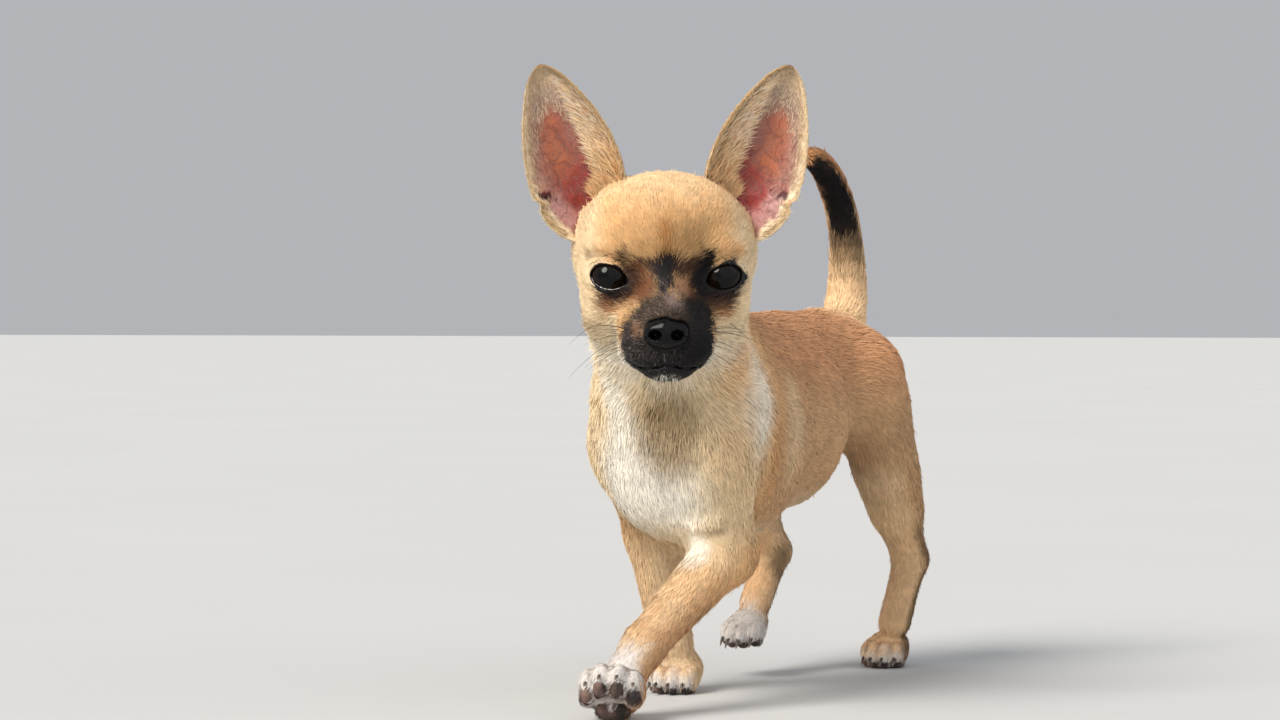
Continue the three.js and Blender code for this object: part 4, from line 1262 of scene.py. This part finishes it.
def scattered(points, faces, weight, count, rng):
    """Random places on a surface, more where the weight is larger."""
    a, b, c = (points[faces[:, k]].astype(float) for k in range(3))
    area = np.linalg.norm(np.cross(b - a, c - a), axis=-1) / 2
    share = np.cumsum(area * weight)
    chosen = np.searchsorted(share, rng.uniform(0, share[-1], count))
    chosen = np.minimum(chosen, len(faces) - 1)
    s, t = rng.uniform(0, 1, (2, count))
    flip = s + t > 1
    s, t = np.where(flip, 1 - s, s)[:, None], np.where(flip, 1 - t, t)[:, None]
    return a[chosen] + (b - a)[chosen] * s + (c - a)[chosen] * t


BODY_TUFTS = 410_000
MOST_TUFTS = 64_000


def body_coat(points, faces, material):
    rng = np.random.default_rng(SEED)
    middle = points[faces].mean(1).astype(np.float32)
    q = to_head(middle)
    dense = hair_of(middle, q, region_of(middle))[3]
    total = BODY_TUFTS
    roots = scattered(points, faces, dense, total, rng).astype(np.float32)
    normals = slope(skin_form, roots, 0.4)
    q = to_head(roots)
    region = region_of(roots)
    length, width, lift, _ = hair_of(roots, q, region)
    lie = lie_of(roots, q, normals)
    strayed = lie * rng.normal(0, 0.8, (len(roots), 1)) + rng.normal(0, 0.45, roots.shape)
    colour = coat_colour(roots + strayed, normals)
    on_mask = (region == "head") * ramp(colour.mean(1), 0.12, 0.05) * ramp(q[:, 1], -12, -17)
    # Pale hairs in the mask, to the right: partly silver hair and partly painted highlight on the lit side.
    colour = mix(colour, SILVER, on_mask * ramp(q[:, 0], 9, -3) * rng.uniform(0, 1, len(roots)) ** 7 * 0.75)
    colour = mix(colour, CREAM * 0.8, chin_patch(q) * (rng.uniform(0, 1, len(roots)) < 0.5) * 0.85)
    colour = colour * (1 + 0.4 * on_mask * rng.normal(0, 1, len(roots)).clip(-2, 2))[:, None]
    width = width * 1
    slots = {"head": "coat_sand", "neck": "coat_cream", "tail": "coat_brown"}
    for name in np.unique(region):
        mine = np.flatnonzero(region == name)
        parts = int(np.ceil(len(mine) / MOST_TUFTS))
        order = mine[np.argsort(roots[mine, 1], kind="stable")]
        for k, piece in enumerate(np.array_split(order, parts)):
            label = f"coat_{name}" if parts == 1 else f"coat_{name}_{k + 1}"
            own = [values[piece] for values in (roots, normals, lie, length, width, lift, colour)]
            dress(tufts(label, *own, rng, skin_form), material, slots.get(name, "coat_fawn"))


# Ears

def ear_bare(u, v):
    """1 on the bare skin inside the ear, 0 where hair covers it, by the edges and to the tip."""
    return ramp(np.hypot((u - 0.59) / 0.39, np.maximum(v - 0.27, 0) / 0.47), 1.12, 0.8)


def ear_slit_shade(u, v):
    """1 in the fold of the small pocket at the ear's outer edge, where painted shade darkens it."""
    return ramp(np.hypot((u - 0.92) / 0.05, (v - 0.352) / 0.03), 1.2, 0.8)


def ear_colour(u, v, face, ragged):
    u, v = u + 0.02 * ragged, v + 0.015 * ragged
    if face < 0:
        c = mix(SAND, EAR_TAN, ramp(v, 0.5, 0.95) * 0.7)
        # Paler toward the edges: partly pale rim hair and partly painted rim light.
        return mix(c, EAR_RIM, ramp(np.minimum(u, 1 - u), 0.1, 0.03))
    c = mix(EAR_MAUVE, EAR_BROWN, ramp(v, 0.82, 0.62) * 0.5)
    c = mix(c, EAR_TAN, ramp(np.minimum(u, 1 - u), 0.15, 0.04))
    c = mix(c, EAR_TAN, ramp(v, 0.74, 0.94))
    c = mix(c, EAR_TAN * 0.85, ramp(u, 0.26, 0.12) * ramp(v, 0.85, 0.6))
    bare = mix(EAR_RED, EAR_ORANGE, ramp(v, 0.3, 0.46) * ramp(u, 0.35, 0.6))
    bare = mix(bare, EAR_BROWN, ramp(v, 0.34, 0.5) * ramp(u, 0.6, 0.4))
    bare = mix(bare, EAR_DEEP, ramp(u, 0.62, 0.36) * ramp(v, 0.34, 0.16))
    bare = mix(bare, EAR_MAUVE, ramp(u, 0.72, 0.88) * 0.6)
    bare = mix(bare, EAR_PINK, pocket(u, v) * 0.7)
    c = mix(c, bare, ear_bare(u, v))
    c = mix(c, EAR_RIM, ramp(u, 0.94, 0.975))
    # Painted shade, near black, in the pocket's fold.
    return mix(c, EAR_DEEP * 0.1, ear_slit_shade(u, v))


def ear(side, name, skin, hair):
    rng = np.random.default_rng(SEED + 10 + side)
    across, along = ((64, 90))
    u = (1 - np.cos(np.pi * np.arange(across + 1) / across)) / 2
    v = 1 - (1 - np.arange(along + 1) / along) ** 1.5
    v[-1] = 0.9999
    grid_v, grid_u = np.meshgrid(v, u, indexing="ij")
    front, rear = (ear_point(grid_u, grid_v, face)[0] for face in (1, -1))
    ring = np.concatenate([front, rear[:, ::-1]], 1)
    wide = ring.shape[1]
    points = on_side(ring.reshape(-1, 3), side)
    faces = grid_faces(along, wide, along + 1)[:, ::side]
    loop = np.arange(wide)
    corners = np.concatenate([faces.reshape(-1), loop[::-side], (along * wide + loop)[::side]])
    counts = np.concatenate([np.full(len(faces), 4), [wide, wide]])
    obj = loose_mesh(f"ear_skin_{name}", points, corners, counts)
    ragged = waves(points.astype(np.float32), 5, 31)
    flat_u = np.concatenate([grid_u, grid_u[:, ::-1]], 1).reshape(-1)
    flat_v = np.concatenate([grid_v, grid_v], 1).reshape(-1)
    inside = np.tile(np.arange(wide) <= across, along + 1)
    front, rear = (ear_colour(flat_u, flat_v, face, ragged) for face in (1, -1))
    give(obj, "coat", np.where(inside[:, None], front, rear))
    give(obj, "bare", inside * ear_bare(flat_u, flat_v))
    dress(obj, skin, "coat_sand", f"ear_{name}")
    ear_hair(side, name, hair, rng)


# Each bed of hair: count, face, range across, range up, length, lift and its lean to the outer edge.
EAR_BEDS = {
    "back": (13000, -1, (0.0, 1.0), (0.03, 0.995), 3.0, 0.2, 0.0),
    "front": (16000, 1, (0.0, 1.0), (0.02, 0.995), 3.4, 0.26, 0.0),
    "veil": (2600, 1, (0.2, 0.95), (0.05, 0.62), 2.6, 0.15, 0.2),
    "fringe": (6200, 1, (0.0, 0.24), (0.04, 0.86), 7.6, 0.5, 0.5),
    "inner_rim": (4200, 1, (0.0, 0.03), (0.1, 0.998), 4.4, 0.3, -0.9),
    "outer_rim": (3200, 1, (0.975, 1.0), (0.1, 0.998), 2.4, 0.2, 0.8),
    "notch": (900, 1, (0.2, 0.5), (0.08, 0.19), 6.0, 0.4, 0.0),
}


def bed_places(kind, count, face, range_u, range_v, rng):
    """Random places for one bed, none in the pocket's fold and few on the bare skin."""
    u = rng.uniform(*range_u, count)
    v = rng.uniform(*range_v, count)
    kept = np.ones(count, bool)
    if kind == "front":
        kept = rng.uniform(0, 1, count) > ear_bare(u, v) * 1.02
    if kind == "fringe":
        u = range_u[1] * rng.uniform(0, 1, count) ** 1.2 * (1.2 - v)
    if face > 0:
        kept &= ear_slit_shade(u, v) < 0.3
    return u[kept], v[kept]


def bed_colour(kind, u, v, colour, rng):
    """The colour of one bed's hair, from the colour of the ear below it."""
    if kind == "front":
        return mix(colour, EAR_RIM, rng.uniform(0, 1, len(u)) ** 1.5)
    if kind == "fringe":
        # The fringe brightened past its hair's colour: painted light.
        colour = mix(EAR_FRINGE, CREAM, rng.uniform(0, 0.9, len(u)) * ramp(v, 0.1, 0.5)) * 1.08
        return mix(colour, STREAK, rng.uniform(0, 1, len(u)) ** 4 * 0.8)
    if kind == "veil":
        return mix(colour, EAR_MAUVE, 0.5)
    if kind.endswith("rim"):
        return mix(EAR_RIM, EAR_FRINGE, rng.uniform(0, 1, len(u)))
    if kind == "notch":
        # Brightened past the hair's colour: painted light.
        return mix(SAND, WARM_CREAM, rng.uniform(0, 1, len(u))) * 1.1
    return colour


def ear_hair(side, name, material, rng):
    """Short hair on the back and the covered front, the fringe of the inner edge and the pale rims."""
    parts = []
    for kind, (count, face, range_u, range_v, length, lift, outward) in EAR_BEDS.items():
        u, v = bed_places(kind, count, face, range_u, range_v, rng)
        place, normal = ear_point(u, v, face)
        out_ward, tip_ward = map(unit, ear_slopes(u, v, 0.01, 0.999))
        lean = (u - 0.5) * 0.8 if kind in ("front", "back") else outward + rng.normal(0, 0.18, len(u))
        lie = tip_ward + lean[:, None] * out_ward
        lie = unit(lie - normal * (lie * normal).sum(-1, keepdims=True))
        skin = ear_colour(u, v, face, waves(place.astype(np.float32), 4, 33))
        length = length * (1 - 0.45 * ramp(v, 0.35, 1.0)) * (0.55 + 0.45 * ramp(v, 0.0, 0.12))
        parts.append((place, normal, lie, length, np.full(len(u), lift), bed_colour(kind, u, v, skin, rng)))
    place, normal, lie, length, lift, colour = (np.concatenate(c) for c in zip(*parts))
    normal, lie = (way * np.array([side, 1, 1]) @ HEAD_AXES.T for way in (normal, lie))
    width = (0.12 + 0.03 * length) * 1
    obj = tufts(f"coat_ear_{name}", on_side(place, side), normal, lie, length, width, lift, colour, rng)
    dress(obj, material, "coat_sand")


# Eyes, lids, nose, pads, claws, whiskers

def grid_faces(rows, wide, count):
    """Faces between rows of points, each row a loop. After count rows of points comes the first again."""
    i, j = np.meshgrid(np.arange(rows), np.arange(wide), indexing="ij")
    k, i_next = (j + 1) % wide, (i + 1) % count
    return np.stack([i * wide + j, i * wide + k, i_next * wide + k, i_next * wide + j], -1).reshape(-1, 4)


def tube(line, radius, sides=8, closed=False):
    """A round tube along a line, its radius given for each point. Also how far along each point lies."""
    line = np.asarray(line, float)
    count = len(line)
    way = unit(np.roll(line, -1, 0) - np.roll(line, 1, 0) if closed else np.gradient(line, axis=0))
    up = np.zeros_like(line)
    up[0] = unit(np.cross(way[0], [0.31, 0.17, 0.94]))
    for i in range(1, count):
        up[i] = unit(up[i - 1] - way[i] * (up[i - 1] @ way[i]))
    side = np.cross(way, up)
    angle = np.arange(sides) * 2 * np.pi / sides
    radius = np.broadcast_to(radius, count)[:, None, None]
    ring = up[:, None] * np.cos(angle)[:, None] + side[:, None] * np.sin(angle)[:, None]
    points = (line[:, None] + ring * radius).reshape(-1, 3)
    rows = count if closed else count - 1
    corners = grid_faces(rows, sides, count)[:, [0, 3, 2, 1]].reshape(-1)
    counts = np.full(rows * sides, 4)
    if not closed:
        end = np.arange(sides)
        corners = np.concatenate([corners, end, (count - 1) * sides + end[::-1]])
        counts = np.concatenate([counts, [sides, sides]])
    return points, corners, counts, np.repeat(np.linspace(0, 1, count), sides)


def joined_meshes(name, parts):
    """One object from several tubes, with how far along each point lies."""
    points, corners, counts, along = zip(*parts)
    shifts = np.cumsum([0, *map(len, points)])
    corners = [c + shift for c, shift in zip(corners, shifts)]
    obj = loose_mesh(name, *map(np.concatenate, (points, corners, counts)))
    give(obj, "along", np.concatenate(along))
    return obj


def eyeball(side, name, material):
    """A ball with the bulge of the cornea in front."""
    rings, round_it = 48, 64
    angle = np.pi * (np.arange(rings + 1) / rings) ** 1.15
    turn = 2 * np.pi * np.arange(round_it) / round_it
    bulge = 0.45 * ramp(angle, 0.78, 0.0) ** 0.7
    a, t = np.meshgrid(angle, turn, indexing="ij")
    r = (EYE_RADIUS + bulge)[:, None]
    local = np.stack([r * np.sin(a) * np.cos(t), -r * np.cos(a), r * np.sin(a) * np.sin(t)], -1)
    head = local.reshape(-1, 3) @ GAZE_AXES.T + np.array(EYE_CENTRE)
    points = on_side(head, side)
    faces = grid_faces(rings, round_it, rings + 1)
    obj = mesh_object(f"eyeball_{name}", points, faces if side > 0 else faces[:, ::-1])
    give(obj, "ring", np.clip(a.reshape(-1) / np.radians(62), 0, 1))
    give(obj, "spokes", np.stack([np.cos(t) * 6, np.sin(t) * 6, a * 1.2], -1).reshape(-1, 3), "VECTOR")
    dress(obj, material, "eye_gloss", f"eye_{name}")


def lid_line(side, count, reach, radius, start=0.0, end=2 * np.pi):
    """Points along the lids' edge on a ball of this radius round the eye."""
    t = np.linspace(start, end, count, endpoint=end - start < 6.2)
    x = EYE_HALF_WIDTH * reach * np.cos(t)
    inner_pull = 1.5 * np.maximum(-np.cos(t), 0) ** 8
    half = np.where(np.sin(t) > 0, EYE_HALF_HEIGHT_UP, EYE_HALF_HEIGHT_DOWN)
    z = half * reach * np.sin(t) + EYE_SLANT * x - 0.35 * np.maximum(-np.cos(t), 0) ** 8
    x = x - inner_pull
    y = -np.sqrt(np.maximum(radius ** 2 - x ** 2 - z ** 2, 1))
    head = np.stack([x, y, z], -1) @ GAZE_AXES.T + np.array(EYE_CENTRE)
    return on_side(head, side)


def lids(side, name, rim_material, wet_glint_material):
    rim = tube(lid_line(side, 72, 1.0, EYE_RADIUS + 0.42), 0.32, 10, closed=True)
    obj = joined_meshes(f"lid_rim_{name}", [rim])
    dress(obj, rim_material, "eyelid_skin", f"eyelid_{name}")
    # The lower lid's pale glossy line, on the right eye only, the lit one: a painted highlight of its wet
    # edge, broken into beads.
    low = lid_line(side, 64, 0.915, EYE_RADIUS + 0.34, np.radians(190), np.radians(350))
    t = np.linspace(0, 1, 64)
    beads = np.clip(0.6 + 0.7 * np.sin(27 * t + 5 * np.sin(11 * t)), 0.1, 1.3)
    line = tube(low, 0.03 + 0.11 * np.sin(np.pi * t) ** 0.6 * beads, 8)
    corner = tube(lid_line(side, 6, 0.95, EYE_RADIUS + 0.1, np.radians(172), np.radians(186)), 0.5, 8)
    obj = joined_meshes(f"tear_line_glint_{name}", [line, corner] if side < 0 else [corner])
    dress(obj, wet_glint_material, "eyelid_skin")


def nose_mesh(material):
    cell = 0.35
    points, quads = nets(nose_form, (-13, -38, -28), (13, -21, -8), cell, 4)
    points = settled(nose_form, points, 2)
    obj = mesh_object("nose_leather", from_head(points), quads)
    dress(obj, material, "nose_leather", "nose")


def pads(name, leg, material):
    """Four toe pads and the large pad behind them, pressed flat where they meet the floor."""
    cell = 0.45
    points, quads = nets(pad_form, (-12, -17, -10.5), (12, 8, -1), cell, 4)
    points = settled(pad_form, points, 1) * leg.size
    world = from_paw(points, leg)
    world[:, 2] = np.maximum(world[:, 2], 0.05)
    obj = mesh_object(f"pads_{name}", world, quads)
    give(obj, "pale", ramp(points[:, 0] + 2.5 * waves(points.astype(np.float32), 6, 41), 3.5, -6.5))
    dress(obj, material, "nose_leather")


def pad_material():
    s = Shader("paw pads", Specular_IOR_Level=0.45)
    cells = s.node("TexVoronoi", Vector=s.place(), Scale=1500.0)
    grain = s.range(cells.outputs["Distance"], 0, 0.6, 1, 0)
    colour = s.blend((0.022, 0.015, 0.013, 1), (0.21, 0.125, 0.095, 1), s.stored("pale"))
    colour = s.blend(colour, (0.10, 0.055, 0.042, 1), s.range(s.noise(350), 0.45, 0.62, 0, 0.6))
    roughness = s.range(grain, 0, 1, 0.75, 0.5)
    return s.done(Base_Color=colour, Roughness=roughness, Normal=s.bump(grain, 0.00025, 0.8))


def claws(name, leg, material):
    parts = []
    s = leg.size
    t = np.linspace(0, 1, 9)
    radius = 0.85 * (1 - t) ** 0.6 + 0.1
    for x, y in TOES:
        ahead = (y - 4.6) * s - 3.9 * t
        line = np.stack([x * s * (1 + 0.05 * t), ahead, (-2.9 * s) - 1.0 * t - 2.8 * t * t], 1)
        world = from_paw(line, leg)
        world[:, 2] = np.maximum(world[:, 2], 0.3 + radius)
        parts.append(tube(world, radius, 8))
    dress(joined_meshes(f"claws_{name}", parts), material, "nose_leather")


def whiskers(material):
    """Thin dark whiskers in rows on the lips, and a few on the cheeks and brows."""
    rng = np.random.default_rng(SEED + 3)
    beds = [((13.4 - 0.4 * row, -21 + 3.2 * row + 2.6 * k, -18 - 2.8 * row - 0.5 * k), 15 + 2.5 * k)
            for row in range(3) for k in range(3)]
    beds += [((19, -7, 8.5), 10), ((23, -3, -17), 13)]
    parts = []
    for side in (1, -1):
        for (x, y, z), length in beds:
            root = np.array([[side * x, y, z]]) + rng.normal(0, 0.5, 3)
            world = settled(skin_form, from_head(root), 3)
            out = slope(skin_form, world)[0] @ HEAD_AXES
            way = unit(out * 0.5 + np.array([side * 0.4, 0.45, 0.0]) + rng.normal(0, 0.14, 3))
            droop = np.array([0, 0.3, -0.9]) * rng.uniform(0.5, 1.1)
            t = np.linspace(0, 1, 12)[:, None]
            bend = (way * t + droop * t ** 2 * 0.5) * length * rng.uniform(0.8, 1.15)
            line = to_head(world)[0] - out * 0.4 + bend
            parts.append(tube(from_head(line), 0.1 * (1 - t[:, 0]) + 0.025, 4))
    dress(joined_meshes("whiskers", parts), material, "coat_mask")


# Camera, floor and light

def linked(name, data, right, up, back, at):
    """A camera or lamp in the scene, given its axes and its place."""
    obj = bpy.data.objects.new(name, data)
    obj.matrix_world = Matrix([*np.stack([right, up, back, at], 1).tolist(), [0, 0, 0, 1]])
    bpy.context.scene.collection.objects.link(obj)
    return obj


def sun(name, energy, spread, colour, back):
    """A soft lamp, given the way from the puppy back to it."""
    data = bpy.data.lights.new(name, "SUN")
    data.energy = energy
    data.angle = np.radians(spread)
    data.color = colour
    back = unit(back)
    side = unit(np.cross([0, 0, 1], back))
    linked(name, data, side, np.cross(back, side), back, metres(LAMPS_AIM) + back)


def studio_floor():
    bpy.ops.mesh.primitive_plane_add(size=60, location=(0, 0, -0.0002))
    floor = bpy.context.object
    floor.name = "studio_floor"
    floor.data.materials.append(floor_material())


def camera(ahead, right):
    pitch = np.radians(CAMERA_PITCH)
    look = ahead * np.cos(pitch) + np.array([0, 0, np.sin(pitch)])
    data = bpy.data.cameras.new("camera")
    data.lens = CAMERA_LENS
    data.sensor_width = CAMERA_SENSOR
    data.clip_start = 0.05
    data.clip_end = 100
    above = np.cross(right, look)
    bpy.context.scene.camera = linked("camera", data, right, above, -look, metres(CAMERA_AT))


def stage_set():
    studio_floor()
    turn = np.radians(CAMERA_TURN)
    ahead = np.array([-np.sin(turn), np.cos(turn), 0])
    right = np.array([np.cos(turn), np.sin(turn), 0])
    up = np.array([0, 0, 1])
    camera(ahead, right)
    sun("soft_key", 3.6, 30, (1.0, 0.96, 0.9), right * -0.62 - ahead * 0.58 + up * 0.78)
    sun("soft_fill", 0.9, 95, (0.9, 0.95, 1.0), right * 0.6 - ahead * 0.75 + up * 0.45)
    world = bpy.data.worlds.new("studio")
    world.use_nodes = True
    background = world.node_tree.nodes["Background"]
    background.inputs["Color"].default_value = (0.93, 0.95, 1.0, 1)
    background.inputs["Strength"].default_value = 0.48
    bpy.context.scene.world = world
    bpy.context.scene.view_settings.view_transform = "Standard"


# The whole puppy

FLESH = [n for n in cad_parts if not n.startswith(("eye", "ear", "nose"))]


def wetness(p):
    """1 on the lips' line and on the lids' edge, which shine."""
    q = to_head(p)
    lip = np.abs(q[:, 2] - mouth_z(q))
    across, deep = opening_across(mirrored(q))
    return np.maximum(ramp(lip, 1.2, 0.4) * (q[:, 1] < MOUTH_CORNER_Y), ramp(across, 1.2, 0.4) * (deep < 0))


def skin_and_coat(coat):
    points, faces = skin_surface()
    skin = mesh_object("skin", points, faces)
    give(skin, "coat", coat_colour(points, slope(skin_form, points, 0.4)))
    give(skin, "wet", wetness(points))
    dress(skin, skin_material(), "coat_sand", *FLESH)
    body_coat(points, faces, coat)


def face_parts(coat):
    ear_skin = ear_material()
    gloss = eye_material()
    rim = leather_material("lid rim", (0.006, 0.004, 0.004), (0.02, 0.013, 0.011), 0.0006, 0.22)
    # Pale and glossy: used for the painted highlight along the wet lower lid.
    wet = plain_material("wet lid edge and painted glint", (0.66, 0.60, 0.58), 0.08, Coat_Weight=1.0, Coat_Roughness=0.03)
    nose = leather_material("nose leather", (0.0025, 0.0025, 0.003), (0.006, 0.0055, 0.006), 0.0008, 0.24)
    for side, name in ((1, "left"), (-1, "right")):
        ear(side, name, ear_skin, coat)
        eyeball(side, name, gloss)
        lids(side, name, rim, wet)
    nose_mesh(nose)


def paws():
    leather = pad_material()
    horn = claw_material()
    for name, leg in LEGS.items():
        pads(name, leg, leather)
        claws(name, leg, horn)


stage_set()
hair = coat_material()
skin_and_coat(hair)
face_parts(hair)
paws()
whiskers(plain_material("whisker", (0.012, 0.010, 0.010), 0.4))
